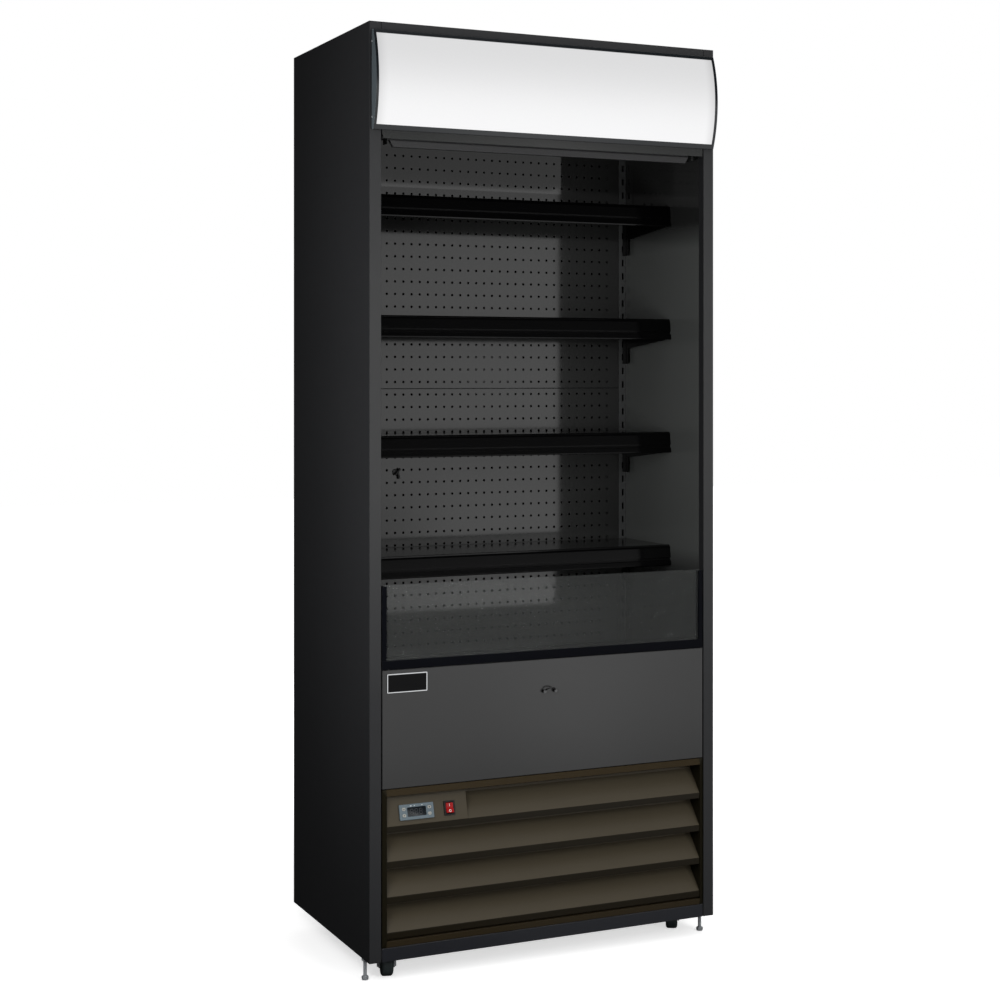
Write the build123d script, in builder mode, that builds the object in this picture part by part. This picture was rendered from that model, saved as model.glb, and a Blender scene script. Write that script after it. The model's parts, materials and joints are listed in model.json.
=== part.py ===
from build123d import *
import math
import os

# Open multideck display fridge. Millimetres, +Z up, the open front faces -Y.
# The origin is on the floor, under the middle of the fridge.

os.makedirs("parts", exist_ok=True)

# ----------------------------------------------------------------------------------------
# Driving dimensions
# ----------------------------------------------------------------------------------------
overall_width = 820
overall_height = 1980
casing_depth = 490
canopy_bulge = 27  # how far the light box stands out in front of the casing
casing_base = 47  # lower edge of the casing above the floor
wall_width = 25.5  # front face of each side wall
display_depth = 360  # from the casing's front to the back sheets
sheet = 1.2  # outer steel skins
liner = 1.0  # inner steel skins
seam = 1.2  # gap between neighbouring front panels
clearance = 0.3  # between pieces that stay apart
fit = 0.05  # radial clearance of a pin in its bore

kick_height = 27.5
grille_height = 324.5
cover_height = 244.6
riser_height = 171.5
header_height = 16.5  # part of the header that shows under the light box
canopy_height = 205
top_strip_height = 17.5  # casing that shows above the light box
deck_level = 615
ceiling_level = 1800
shelf_count = 4
shelf_pitch = 259.6
top_shelf_level = 1595  # lower edge of the top shelf's price rail
slots_per_shelf = 8  # shelf positions between two shelves

# Worked out from these
front = canopy_bulge - (casing_depth + canopy_bulge) / 2
back = front + casing_depth
half_width = overall_width / 2
inner_half = half_width - wall_width
infill_half = inner_half - 2.5  # half width of the panels between the side walls
panel_y = front + display_depth

kick_top = casing_base + kick_height
grille_low = kick_top + seam
grille_high = grille_low + grille_height
cover_low = grille_high + seam
cover_high = cover_low + cover_height
riser_low = cover_high + seam
riser_high = riser_low + riser_height
canopy_high = overall_height - top_strip_height
canopy_low = canopy_high - canopy_height
header_low = canopy_low - header_height
strip_low = canopy_high - 18
slot_pitch = shelf_pitch / slots_per_shelf
shelf_levels = [top_shelf_level - shelf_pitch * number for number in range(shelf_count)]


def block(x, y, z, mode=Mode.ADD):
    """A rectangular block between a low and a high limit on each axis."""
    with Locations(((x[0] + x[1]) / 2, (y[0] + y[1]) / 2, (z[0] + z[1]) / 2)):
        Box(x[1] - x[0], y[1] - y[0], z[1] - z[0], mode=mode)


def both(half):
    """Limits of something centred on the fridge's middle plane."""
    return (-half, half)


def on_side(side, near, far):
    """Limits from near to far of the middle plane, on the left (-1) or right (+1)."""
    return (near, far) if side > 0 else (-far, -near)


def behind(near, far):
    """Y limits from two depths behind the casing's front."""
    return (front + near, front + far)


def profile(plane, points, width, mode=Mode.ADD):
    """A closed outline drawn on a plane and extruded along the plane's normal."""
    with BuildSketch(plane) as outline:
        with BuildLine():
            Polyline(*points, close=True)
        make_face()
    extrude(outline.sketch, amount=width, mode=mode)


def folded_sheet(plane, points, thickness, width):
    """A folded sheet whose outer side follows the points, extruded along the plane's normal."""
    with BuildSketch(plane) as outline:
        with BuildLine():
            outer = Polyline(*points)
            offset(outer, amount=thickness, side=Side.RIGHT, kind=Kind.INTERSECTION)
        make_face()
    extrude(outline.sketch, amount=width)


def rod(start, end, radius, mode=Mode.ADD):
    """A round bar between two points."""
    with BuildSketch(Plane(origin=start, z_dir=Vector(*end) - Vector(*start))) as end_face:
        Circle(radius)
    extrude(end_face.sketch, amount=(Vector(*end) - Vector(*start)).length, mode=mode)


def slots(x, y, z, mode=Mode.SUBTRACT):
    """Cuts one block at each pair of limits along X, all of the same Y and Z limits."""
    for limits in x:
        block(limits, y, z, mode)


# ----------------------------------------------------------------------------------------
# Casing: side walls, roof, rear, floor and kick plate
# ----------------------------------------------------------------------------------------
wall_lip = 20  # return of the side wall at the opening
bend_radius = 1.5
leveller_x = 402
leveller_y = front + 46.5
leveller_radius = 3.95

for side, name in ((-1, "left_side_panel"), (1, "right_side_panel")):
    with BuildPart() as side_panel:
        block(on_side(side, inner_half, half_width), (front, back), (casing_base, overall_height))
        outer_face = side_panel.faces().sort_by(Axis.X)[0 if side < 0 else -1]
        fillet(outer_face.edges().filter_by(Axis.Z), radius=bend_radius)
        open_face = side_panel.faces().sort_by(Axis.X)[-1 if side < 0 else 0]
        offset(amount=-sheet, openings=open_face)
        lip_x = on_side(side, inner_half, inner_half + sheet)
        block(lip_x, behind(0, wall_lip), (casing_base, overall_height))
        with Locations((side * leveller_x, leveller_y, casing_base + sheet / 2)):
            Cylinder(radius=leveller_radius + 0.5, height=3 * sheet, mode=Mode.SUBTRACT)
    side_panel.part.label = name
    export_step(side_panel.part, f"parts/{name}.step")

roof_half = inner_half - 1
roof_flange = overall_height - strip_low
with BuildPart() as top_panel:
    block(both(roof_half), (front, back), (strip_low, overall_height))
    offset(amount=-sheet, openings=top_panel.faces().sort_by(Axis.Z)[0])
top_panel.part.label = "top_panel"
export_step(top_panel.part, "parts/top_panel.step")

service_high = cover_low + 20  # top of the slotted service cover at the rear
vent_slot_height = 6
vent_slot_pitch = 16
vent_rows = 14
inlet_x = 335
inlet_z = 110
inlet_radius = 11
rear_screw_radius = 4
rear_screw_places = [
    (x, z)
    for x in (-370, 0, 370)
    for z in (casing_base + 30, service_high - 12, service_high + 30, strip_low - 40)
]
with BuildPart() as rear_panel:
    block(both(roof_half), (back - sheet, back), (service_high + seam, strip_low - seam))
    block(both(roof_half), (back - sheet, back), (casing_base, service_high))
    for row in range(vent_rows):
        vent_z = casing_base + 110 + row * vent_slot_pitch
        vent_limits = (vent_z, vent_z + vent_slot_height)
        slots(((-300, -40), (40, 300)), (back - 2 * sheet, back + sheet), vent_limits)
    with BuildSketch(Plane.XZ.offset(-back)) as rear_holes:
        with Locations((inlet_x, inlet_z)):
            Circle(inlet_radius + clearance)
        with Locations(*rear_screw_places):
            Circle(rear_screw_radius + clearance)
    extrude(rear_holes.sketch, amount=2 * sheet, both=True, mode=Mode.SUBTRACT)
rear_panel.part.label = "rear_panel"
export_step(rear_panel.part, "parts/rear_panel.step")

floor_sheet = 2
floor_flange = 20
floor_top = casing_base + 25
caster_x = 346
rear_caster_x = 322
caster_y = (front + 74.5, back - 80)
caster_plate = 64
caster_plate_low = floor_top - floor_sheet - 3
kingpin_radius = 5
caster_places = [
    (-caster_x, caster_y[0], 165),
    (caster_x, caster_y[0], -28.7),
    (-rear_caster_x, caster_y[1], 12),
    (rear_caster_x, caster_y[1], -18),
]
with BuildPart() as base_pan:
    pan_y = (front + sheet + clearance, back - sheet - clearance)
    block(both(roof_half), pan_y, (floor_top - floor_flange, floor_top))
    offset(amount=-floor_sheet, openings=base_pan.faces().sort_by(Axis.Z)[0])
    for x, y, swivel in caster_places:
        plate_x = (x - caster_plate / 2, x + caster_plate / 2)
        plate_y = (y - caster_plate / 2, y + caster_plate / 2)
        block(plate_x, plate_y, (caster_plate_low, floor_top - floor_sheet))
        with Locations((x, y, floor_top - 3)):
            Cylinder(radius=kingpin_radius + fit, height=12, mode=Mode.SUBTRACT)
base_pan.part.label = "base_pan"
export_step(base_pan.part, "parts/base_pan.step")

with BuildPart() as kick_plate:
    block(both(infill_half), behind(0, sheet), (casing_base, kick_top))
    block(both(infill_half), behind(0, 14), (kick_top - sheet, kick_top))
    folded_edge = kick_plate.edges().filter_by(Axis.X).group_by(Axis.Z)[-1].sort_by(Axis.Y)[0]
    fillet(folded_edge, radius=1)
kick_plate.part.label = "kick_plate"
export_step(kick_plate.part, "parts/kick_plate.step")

# ----------------------------------------------------------------------------------------
# Foam and inner liner
# ----------------------------------------------------------------------------------------
floor_foam = 30
rear_foam = 38
roof_foam = 38
foam_gap = 0.1
rear_liner_y = back - sheet - rear_foam - 2 * foam_gap - liner
roof_liner_z = overall_height - sheet - roof_foam - 2 * foam_gap - liner
wall_foam = (inner_half + sheet + 2 * foam_gap, half_width - sheet - foam_gap)
foam_low = cover_low + liner + foam_gap
foam_floor_top = foam_low + floor_foam
pipe_hole_x = 300
pipe_hole_y = 165
pipe_hole_radius = 22
front_foam = behind(16.5, 36.5)
front_foam_top = deck_level - 3

with BuildPart() as insulation:
    for side in (-1, 1):
        block(
            on_side(side, *wall_foam),
            (front + sheet + foam_gap, back - sheet - foam_gap),
            (cover_low, overall_height - sheet - foam_gap),
        )
    rear_foam_y = (back - sheet - foam_gap - rear_foam, back - sheet - foam_gap)
    block(both(inner_half - 2), rear_foam_y, (foam_low, strip_low - seam))
    roof_foam_z = (overall_height - sheet - foam_gap - roof_foam, overall_height - sheet - foam_gap)
    block(both(roof_half - 2), behind(2, casing_depth - 45), (roof_foam_z[0], roof_foam_z[1]))
    block(both(inner_half - 0.5), (front_foam[1] + 2, rear_liner_y), (foam_low, foam_floor_top))
    with Locations((pipe_hole_x, pipe_hole_y, foam_low)):
        Cylinder(radius=pipe_hole_radius, height=4 * floor_foam, mode=Mode.SUBTRACT)
    block(both(infill_half - 1), front_foam, (foam_low, front_foam_top))
insulation.part.label = "insulation"
export_step(insulation.part, "parts/insulation.step")

with BuildPart() as cabinet_liner:
    for side in (-1, 1):
        liner_x = on_side(side, inner_half, inner_half + liner)
        liner_y = (front + wall_lip + foam_gap, rear_liner_y + liner)
        block(liner_x, liner_y, (cover_low, roof_liner_z + liner))
    liner_half = inner_half - clearance
    rear_liner_z = (foam_floor_top + 2, roof_liner_z - clearance)
    block(both(liner_half), (rear_liner_y, rear_liner_y + liner), rear_liner_z)
    block(both(liner_half), (front + 2, rear_liner_y + liner), (roof_liner_z, roof_liner_z + liner))
    floor_liner_y = (front_foam[1] + 1.5, rear_liner_y + liner)
    block(both(liner_half), floor_liner_y, (foam_floor_top, foam_floor_top + liner))
    block(both(liner_half), floor_liner_y, (cover_low, cover_low + liner))
    for hole_z in (foam_floor_top, cover_low):
        with Locations((pipe_hole_x, pipe_hole_y, hole_z)):
            Cylinder(radius=pipe_hole_radius, height=4, mode=Mode.SUBTRACT)
    front_liner_y = (front_foam[1] + foam_gap, front_foam[1] + foam_gap + liner)
    block(both(liner_half - 2), front_liner_y, (foam_low, front_foam_top))
cabinet_liner.part.label = "cabinet_liner"
export_step(cabinet_liner.part, "parts/cabinet_liner.step")

# ----------------------------------------------------------------------------------------
# Display space: back sheets, uprights, deck, air discharge, probe clip
# ----------------------------------------------------------------------------------------
upright_width = 18.8
upright_half = inner_half - 0.2  # far edge of each upright
upright_near = upright_half - upright_width
upright_depth = 15
upright_sheet = 1.5
slot_x = 376.5
slot_width = 5
slot_height = 15
slot_phase = -39  # centre of a slot, from a shelf's lower edge
back_seam_z = 1223
back_half = upright_near - 0.6

with BuildPart() as back_panels:
    sheet_y = (panel_y, panel_y + liner)
    for low, high in (
        (deck_level + clearance, back_seam_z - seam / 2),
        (back_seam_z + seam / 2, ceiling_level - clearance),
    ):
        block(both(back_half), sheet_y, (low, high))
        for side in (-1, 1):
            flange_x = on_side(side, back_half - liner, back_half)
            block(flange_x, (panel_y, panel_y + 12), (low, high))
back_panels.part.label = "back_panels"
export_step(back_panels.part, "parts/back_panels.step")

lowest_slot = top_shelf_level + slot_phase - slot_pitch * math.floor(
    (top_shelf_level + slot_phase - deck_level - 20) / slot_pitch
)
slot_total = math.floor((ceiling_level - 20 - lowest_slot) / slot_pitch) + 1
slot_middle = lowest_slot + slot_pitch * (slot_total - 1) / 2
with BuildPart() as shelf_uprights:
    for side in (-1, 1):
        upright_z = (deck_level + clearance, ceiling_level - clearance)
        block(on_side(side, upright_near, upright_half), (panel_y, panel_y + upright_sheet), upright_z)
        for near in (upright_near, upright_half - upright_sheet):
            leg_x = on_side(side, near, near + upright_sheet)
            block(leg_x, (panel_y, panel_y + upright_depth), upright_z)
        with BuildSketch(Plane.XZ.offset(-panel_y + 1)) as slot_row:
            with Locations((side * slot_x, slot_middle)):
                with GridLocations(slot_pitch, slot_pitch, 1, slot_total):
                    Rectangle(slot_width, slot_height)
        extrude(slot_row.sketch, amount=-4, mode=Mode.SUBTRACT)
shelf_uprights.part.label = "shelf_uprights"
export_step(shelf_uprights.part, "parts/shelf_uprights.step")

return_slots = 36
return_slot_width = 8
return_slot_length = 34
return_slot_pitch = 20.5
deck_front = 15
deck_flange = 18
with BuildPart() as deck_pan:
    block(both(infill_half), (front + deck_front, panel_y - clearance), (deck_level - sheet, deck_level))
    flange_z = (deck_level - deck_flange, deck_level)
    block(both(infill_half), (panel_y - clearance - sheet, panel_y - clearance), flange_z)
    with BuildSketch(Plane.XY.offset(deck_level + 1)) as return_air:
        with Locations((0, front + 64), (0, front + 106)):
            with GridLocations(return_slot_pitch, 1, return_slots, 1):
                SlotOverall(return_slot_length, return_slot_width, rotation=90)
    extrude(return_air.sketch, amount=-4, mode=Mode.SUBTRACT)
deck_pan.part.label = "deck_pan"
export_step(deck_pan.part, "parts/deck_pan.step")

discharge_y = behind(80, 140)
discharge_z = (ceiling_level - 12, ceiling_level + 10)
cell_pitch = 18
cell_columns = 42
cell_rows = 3
with BuildPart() as discharge_grille:
    block(both(infill_half), discharge_y, discharge_z)
    with BuildSketch(Plane.XY.offset(discharge_z[1] + 1)) as cells:
        with Locations((0, (discharge_y[0] + discharge_y[1]) / 2)):
            with GridLocations(cell_pitch, cell_pitch, cell_columns, cell_rows):
                Rectangle(cell_pitch - 1.2, cell_pitch - 1.2)
    extrude(cells.sketch, amount=-40, mode=Mode.SUBTRACT)
    ceiling_y = (discharge_y[1] + clearance, panel_y + liner)
    block(both(infill_half), ceiling_y, (ceiling_level, ceiling_level + sheet))
discharge_grille.part.label = "discharge_grille"
export_step(discharge_grille.part, "parts/discharge_grille.step")

probe_x = -208
probe_z = 1034.5
with BuildPart() as probe_clip:
    clip_y = panel_y - clearance
    # Round foot, slanting sensor tube with the arm that holds it, and the end of its lead
    rod((probe_x - 4.5, clip_y, probe_z), (probe_x - 4.5, clip_y - 2.5, probe_z), 5.5)
    rod((probe_x - 1, clip_y - 1.5, probe_z), (probe_x - 1, clip_y - 6, probe_z), 2.6)
    rod((probe_x - 6, clip_y - 6, probe_z - 7), (probe_x + 6, clip_y - 6, probe_z + 7), 2.7)
    rod((probe_x + 1.5, clip_y - 3.2, probe_z - 2), (probe_x + 4.5, clip_y - 3.2, probe_z - 16), 2.9)
probe_clip.part.label = "probe_clip"
export_step(probe_clip.part, "parts/probe_clip.step")

# ----------------------------------------------------------------------------------------
# Shelves and their brackets
# ----------------------------------------------------------------------------------------
shelf_half = inner_half - 0.6
bracket_sheet = 2.4
rail_front = 148.5  # depth of the price rail's nose
rail_height = 47.5
pan_sheet = 1.2
pan_top = rail_height - 1.3
pan_front = rail_front + 3.2
pan_rear = display_depth - 6
# Section of the price rail: depth from its nose, height from its lower edge
rail_section = [
    (-6.0, 0.0),
    (-6.8, 2.2),
    (-5.2, 11.6),
    (-2.0, 12.4),
    (-1.2, 17.6),
    (-4.4, 18.6),
    (-1.2, 40.4),
    (0.0, 44.2),
    (2.6, 47.1),
    (5.0, 47.5),
    (12.0, 47.5),
    (12.0, 46.4),
    (3.0, 46.4),
    (1.2, 43.0),
    (0.8, 12.0),
    (-3.4, 9.8),
    (-4.6, 2.4),
    (-4.0, 0.0),
]

for number, level in enumerate(shelf_levels, start=1):
    with BuildPart() as shelf:
        section = [(front + rail_front + depth, level + height) for depth, height in rail_section]
        profile(Plane.YZ.offset(-shelf_half), section, 2 * shelf_half)
        top = level + pan_top
        pan_x = both(shelf_half - 0.4)
        block(pan_x, behind(pan_front, pan_rear), (top - pan_sheet, top))
        block(pan_x, behind(pan_front, pan_front + pan_sheet), (top - 28, top))
        rear_flange_x = both(slot_x - bracket_sheet / 2 - 1.5)
        block(rear_flange_x, behind(pan_rear - pan_sheet, pan_rear), (top - 22, top))
    shelf.part.label = f"shelf_{number}"
    export_step(shelf.part, f"parts/shelf_{number}.step")

bracket_front = 154
tongue_front = 333.6
tongue_low = -54.4
hook_height = 12
with BuildPart() as shelf_brackets:
    for level in shelf_levels:
        for side in (-1, 1):
            bracket_high = level + pan_top - pan_sheet
            arm = [
                (front + bracket_front, bracket_high),
                (front + bracket_front, level),
                (front + tongue_front, level - 18.3),
                (front + tongue_front, level + tongue_low),
                (panel_y - clearance, level + tongue_low),
                (panel_y - clearance, bracket_high),
            ]
            plate_x = on_side(side, slot_x - bracket_sheet / 2, slot_x + bracket_sheet / 2)
            profile(Plane.YZ.offset(plate_x[0]), arm, bracket_sheet)
            for slot_step in (0, 2):
                hook_z = level + slot_phase + slot_step * slot_pitch
                hook_limits = (hook_z - hook_height / 2, hook_z + hook_height / 2)
                block(plate_x, (panel_y - 1, panel_y + 6), hook_limits)
shelf_brackets.part.label = "shelf_brackets"
export_step(shelf_brackets.part, "parts/shelf_brackets.step")

# ----------------------------------------------------------------------------------------
# Glass riser and lower front cover
# ----------------------------------------------------------------------------------------
riser_side = 10
riser_base = 18
riser_depth = 13
glass_thickness = 5
glass_front = 3.5
glass_half = infill_half - riser_side / 2
with BuildPart() as glass_frame:
    for side in (-1, 1):
        bar_x = on_side(side, infill_half - riser_side, infill_half)
        block(bar_x, behind(0, riser_depth), (riser_low + riser_base + 0.2, riser_high))
    block(both(infill_half), behind(0, riser_depth), (riser_low, riser_low + riser_base))
    groove_y = behind(glass_front - 0.1, glass_front + glass_thickness + 0.1)
    block(both(glass_half + 0.1), groove_y, (riser_low + riser_base / 2, riser_high + 10), Mode.SUBTRACT)
glass_frame.part.label = "glass_frame"
export_step(glass_frame.part, "parts/glass_frame.step")

with BuildPart() as front_glass:
    glass_z = (riser_low + riser_base / 2 + 0.2, riser_high + 2)
    block(both(glass_half), behind(glass_front, glass_front + glass_thickness), glass_z)
    chamfer(front_glass.edges().filter_by(Axis.X).group_by(Axis.Z)[-1], length=0.6)
front_glass.part.label = "front_glass"
export_step(front_glass.part, "parts/front_glass.step")

cover_depth = 15
with BuildPart() as lower_front_panel:
    block(both(infill_half), behind(0, cover_depth), (cover_low, cover_high))
    fillet(lower_front_panel.edges().group_by(Axis.Y)[0], radius=1)
    offset(amount=-sheet, openings=lower_front_panel.faces().sort_by(Axis.Y)[-1])
lower_front_panel.part.label = "lower_front_panel"
export_step(lower_front_panel.part, "parts/lower_front_panel.step")

plate_width = 90
plate_height = 40
plate_left = 10  # from the cover's left edge
plate_drop = 7.5  # from the cover's top edge
plate_rim = 2.2
with BuildPart() as name_plate:
    plate_x = (-infill_half + plate_left, -infill_half + plate_left + plate_width)
    plate_z = (cover_high - plate_drop - plate_height, cover_high - plate_drop)
    block(plate_x, behind(-1.8, 0), plate_z)
    fillet(name_plate.edges().filter_by(Axis.Y), radius=2)
    fillet(name_plate.edges().group_by(Axis.Y)[0], radius=0.6)
    field_x = (plate_x[0] + plate_rim, plate_x[1] - plate_rim)
    field_z = (plate_z[0] + plate_rim, plate_z[1] - plate_rim)
    block(field_x, behind(-2.5, -1.3), field_z, Mode.SUBTRACT)
name_plate.part.label = "name_plate"
export_step(name_plate.part, "parts/name_plate.step")

catch_z = 583
catch_reach = 12
catch_half = 13
catch_stud_drop = 5
with BuildPart() as curtain_catch:
    for side in (-1, 1):
        stud_start = (side * catch_half, front, catch_z - catch_stud_drop)
        stud_end = (side * catch_half, front - catch_reach + 4, catch_z - catch_stud_drop)
        rod(stud_start, stud_end, 3.6)
    with BuildLine() as bow:
        ThreePointArc(
            (-catch_half, front - 4, catch_z - catch_stud_drop),
            (0, front - catch_reach, catch_z + 3),
            (catch_half, front - 4, catch_z - catch_stud_drop),
        )
    with BuildSketch(Plane(origin=bow.line @ 0, z_dir=bow.line % 0)) as wire:
        Circle(1.5)
    sweep(wire.sketch, path=bow.line)
curtain_catch.part.label = "curtain_catch"
export_step(curtain_catch.part, "parts/curtain_catch.step")

# ----------------------------------------------------------------------------------------
# Grille of the machine compartment
# ----------------------------------------------------------------------------------------
grille_side = 9
grille_bar = 13
grille_rise = 4  # the bars' inner edges stand this far proud
grille_back = 20
grille_side_back = 46
grille_inner_half = infill_half - grille_side
grille_inner_low = grille_low + grille_bar
grille_inner_high = grille_high - grille_bar


def grille_outline(low, inner_low, inner_high, high):
    """The four corners of a bar that runs across the grille, mitred at its ends."""
    return [(-infill_half, low), (infill_half, low), (inner_high, high), (inner_low, high)]


with BuildPart() as grille_frame:
    front_of_bars = Plane.XZ.offset(-(front - grille_rise))
    inner_corners = [
        (-grille_inner_half, grille_inner_low),
        (grille_inner_half, grille_inner_low),
        (grille_inner_half, grille_inner_high),
        (-grille_inner_half, grille_inner_high),
    ]
    outer_corners = [
        (-infill_half, grille_low),
        (infill_half, grille_low),
        (infill_half, grille_high),
        (-infill_half, grille_high),
    ]
    mitre_gap = 0.04
    for corner in range(4):
        following = (corner + 1) % 4
        outer = [Vector(*outer_corners[corner]), Vector(*outer_corners[following])]
        inner = [Vector(*inner_corners[following]), Vector(*inner_corners[corner])]
        along = (outer[1] - outer[0]).normalized() * mitre_gap
        bar = [outer[0] + along, outer[1] - along, inner[0] - along, inner[1] + along]
        depth = grille_side_back if corner % 2 else grille_back
        profile(front_of_bars, [(point.X, point.Y) for point in bar], -(grille_rise + depth))
    # The bars' faces slope back to the panel's plane at their outer edges
    for low, inner, reach in (
        (grille_low, grille_inner_low, -5),
        (grille_high, grille_inner_high, 5),
    ):
        slope = [
            (front, low),
            (front - grille_rise, inner),
            (front - 9, inner),
            (front - 9, low + reach),
            (front, low + reach),
        ]
        profile(Plane.YZ.offset(-half_width), slope, overall_width, Mode.SUBTRACT)
    for side in (-1, 1):
        slope = [
            (side * infill_half, front),
            (side * grille_inner_half, front - grille_rise),
            (side * grille_inner_half, front - 9),
            (side * (infill_half + 5), front - 9),
            (side * (infill_half + 5), front),
        ]
        profile(Plane.XY, slope, overall_height, Mode.SUBTRACT)
grille_frame.part.label = "grille_frame"
export_step(grille_frame.part, "parts/grille_frame.step")

blade_count = 4
blade_pitch = 73
blade_sheet = 1.4
blade_half = grille_inner_half - 0.3
top_blade_low = 312.1  # lower edge of the top blade's lip
blade_lip = 12.2
blade_rise = 47
blade_run = 40.5
blade_flange = 5
blade_proud = 2

# Controller and switch sit on a steeper plate over the left end of the top blade
plate_tilt = math.radians(15)
plate_low = top_blade_low + blade_lip + 0.25
plate_high = grille_inner_high - 3
plate_right = -190
plate_flange = 8
controls_z = 348.9


def plate_y(z):
    """How far back the control plate's face lies at a height."""
    return front - blade_proud + (z - plate_low) * math.tan(plate_tilt)


def on_plate(x, proud=0.0):
    """A plane on the control plate's face: its normal points out of the face, its local Y up the slope."""
    outward = Vector(0, -math.cos(plate_tilt), math.sin(plate_tilt))
    foot = Vector(x, plate_y(controls_z), controls_z) + outward * proud
    return Plane(origin=foot, x_dir=(1, 0, 0), z_dir=outward)


controller_x = -305
controller_width = 77
controller_height = 32
controller_body_width = 70
controller_body_height = 27
controller_body_depth = 44
bezel_thickness = 4
switch_x = -230.5
switch_width = 24
switch_height = 30
switch_body_width = 22
switch_body_height = 27
switch_body_depth = 20

with BuildPart() as louvre_blades:
    for number in range(blade_count):
        low = top_blade_low - number * blade_pitch
        lip_front = front - blade_proud
        folds = [
            (lip_front, low),
            (lip_front, low + blade_lip),
            (lip_front + blade_run, low + blade_lip + blade_rise),
            (lip_front + blade_run, low + blade_lip + blade_rise + blade_flange),
        ]
        folded_sheet(Plane.YZ.offset(-blade_half), folds, blade_sheet, 2 * blade_half)
    # The control plate's lower edge is cut to the slope of the blade that it stands on
    behind_face = blade_sheet / math.cos(plate_tilt)
    slope = blade_rise / blade_run
    foot_rise = slope * behind_face / (1 - slope * math.tan(plate_tilt))
    flange_z = plate_high - blade_sheet
    plate_section = [
        (plate_y(plate_low), plate_low),
        (plate_y(plate_high), plate_high),
        (plate_y(plate_high) + plate_flange, plate_high),
        (plate_y(plate_high) + plate_flange, flange_z),
        (plate_y(flange_z) + behind_face, flange_z),
        (plate_y(plate_low + foot_rise) + behind_face, plate_low + foot_rise),
    ]
    profile(Plane.YZ.offset(-blade_half), plate_section, blade_half + plate_right)
    for x, width, height in (
        (controller_x, controller_body_width, controller_body_height),
        (switch_x, switch_body_width, switch_body_height),
    ):
        with BuildSketch(on_plate(x, 5)) as cut_out:
            Rectangle(width + 0.8, height + 0.8)
        extrude(cut_out.sketch, amount=-50, mode=Mode.SUBTRACT)
louvre_blades.part.label = "louvre_blades"
export_step(louvre_blades.part, "parts/louvre_blades.step")

# ----------------------------------------------------------------------------------------
# Temperature controller and rocker switch
# ----------------------------------------------------------------------------------------
key_width = 8
key_height = 6.5
key_corner = 3
key_offset_x = 28.5
key_offset_y = 6.5
key_travel = 0.8
key_proud = 1.0
key_stem = 2.5
key_gap = 0.3
screen_width = 42
screen_height = 19
key_places = [(across * key_offset_x, along * key_offset_y) for across in (-1, 1) for along in (1, -1)]

with BuildPart() as controller_body:
    with BuildSketch(on_plate(controller_x, 0.05)) as bezel:
        RectangleRounded(controller_width, controller_height, 2.5)
    extrude(bezel.sketch, amount=bezel_thickness)
    fillet(controller_body.faces().sort_by(Axis((0, 0, 0), (0, -1, 1)))[-1].edges(), radius=1)
    with BuildSketch(on_plate(controller_x, 0.05)) as case:
        Rectangle(controller_body_width, controller_body_height)
    extrude(case.sketch, amount=-controller_body_depth)
    with BuildSketch(on_plate(controller_x, bezel_thickness + 1)) as recess:
        Rectangle(screen_width, screen_height)
    extrude(recess.sketch, amount=-1.8, mode=Mode.SUBTRACT)
    with BuildSketch(on_plate(controller_x, bezel_thickness + 1)) as pockets:
        with Locations(*key_places):
            RectangleRounded(key_width + 2 * key_gap, key_height + 2 * key_gap, key_corner + key_gap)
    extrude(pockets.sketch, amount=-1 - key_stem - key_travel - 0.2, mode=Mode.SUBTRACT)
controller_body.part.label = "controller_body"
export_step(controller_body.part, "parts/controller_body.step")

for number, place in enumerate(key_places, start=1):
    with BuildPart() as controller_button:
        with BuildSketch(on_plate(controller_x, bezel_thickness - key_stem)) as key:
            with Locations(place):
                RectangleRounded(key_width, key_height, key_corner)
        extrude(key.sketch, amount=key_stem + key_proud)
        crown = controller_button.faces().sort_by(Axis((0, 0, 0), (0, -1, 1)))[-1]
        fillet(crown.edges(), radius=0.5)
    controller_button.part.label = f"controller_button_{number}"
    export_step(controller_button.part, f"parts/controller_button_{number}.step")

rocker_width = 16
rocker_reach = 10.4  # from the pivot to each end of the rocker
rocker_pivot_radius = 1.5
rocker_pivot_length = 2.5
rocker_angle = 16
rocker_depth = 5  # of the rocker's pressed half, above and below its pivot
switch_bezel = 2.5
switch_pivot = on_plate(switch_x, -1.7)
with BuildPart() as switch_housing:
    with BuildSketch(on_plate(switch_x, 0.05)) as bezel:
        RectangleRounded(switch_width, switch_height, 2)
    extrude(bezel.sketch, amount=switch_bezel)
    with BuildSketch(on_plate(switch_x, 0.05)) as case:
        Rectangle(switch_body_width, switch_body_height)
    extrude(case.sketch, amount=-switch_body_depth)
    with BuildSketch(on_plate(switch_x, switch_bezel + 1)) as well:
        Rectangle(rocker_width + 1, 2 * rocker_reach + 3.2)
    extrude(well.sketch, amount=-1 - switch_bezel - 10, mode=Mode.SUBTRACT)
    bore_half = rocker_width / 2 + rocker_pivot_length + clearance
    bore_ends = [switch_pivot.from_local_coords(Vector(end, 0, 0)) for end in (-bore_half, bore_half)]
    rod(*bore_ends, rocker_pivot_radius + fit, Mode.SUBTRACT)
switch_housing.part.label = "switch_housing"
export_step(switch_housing.part, "parts/switch_housing.step")

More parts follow.
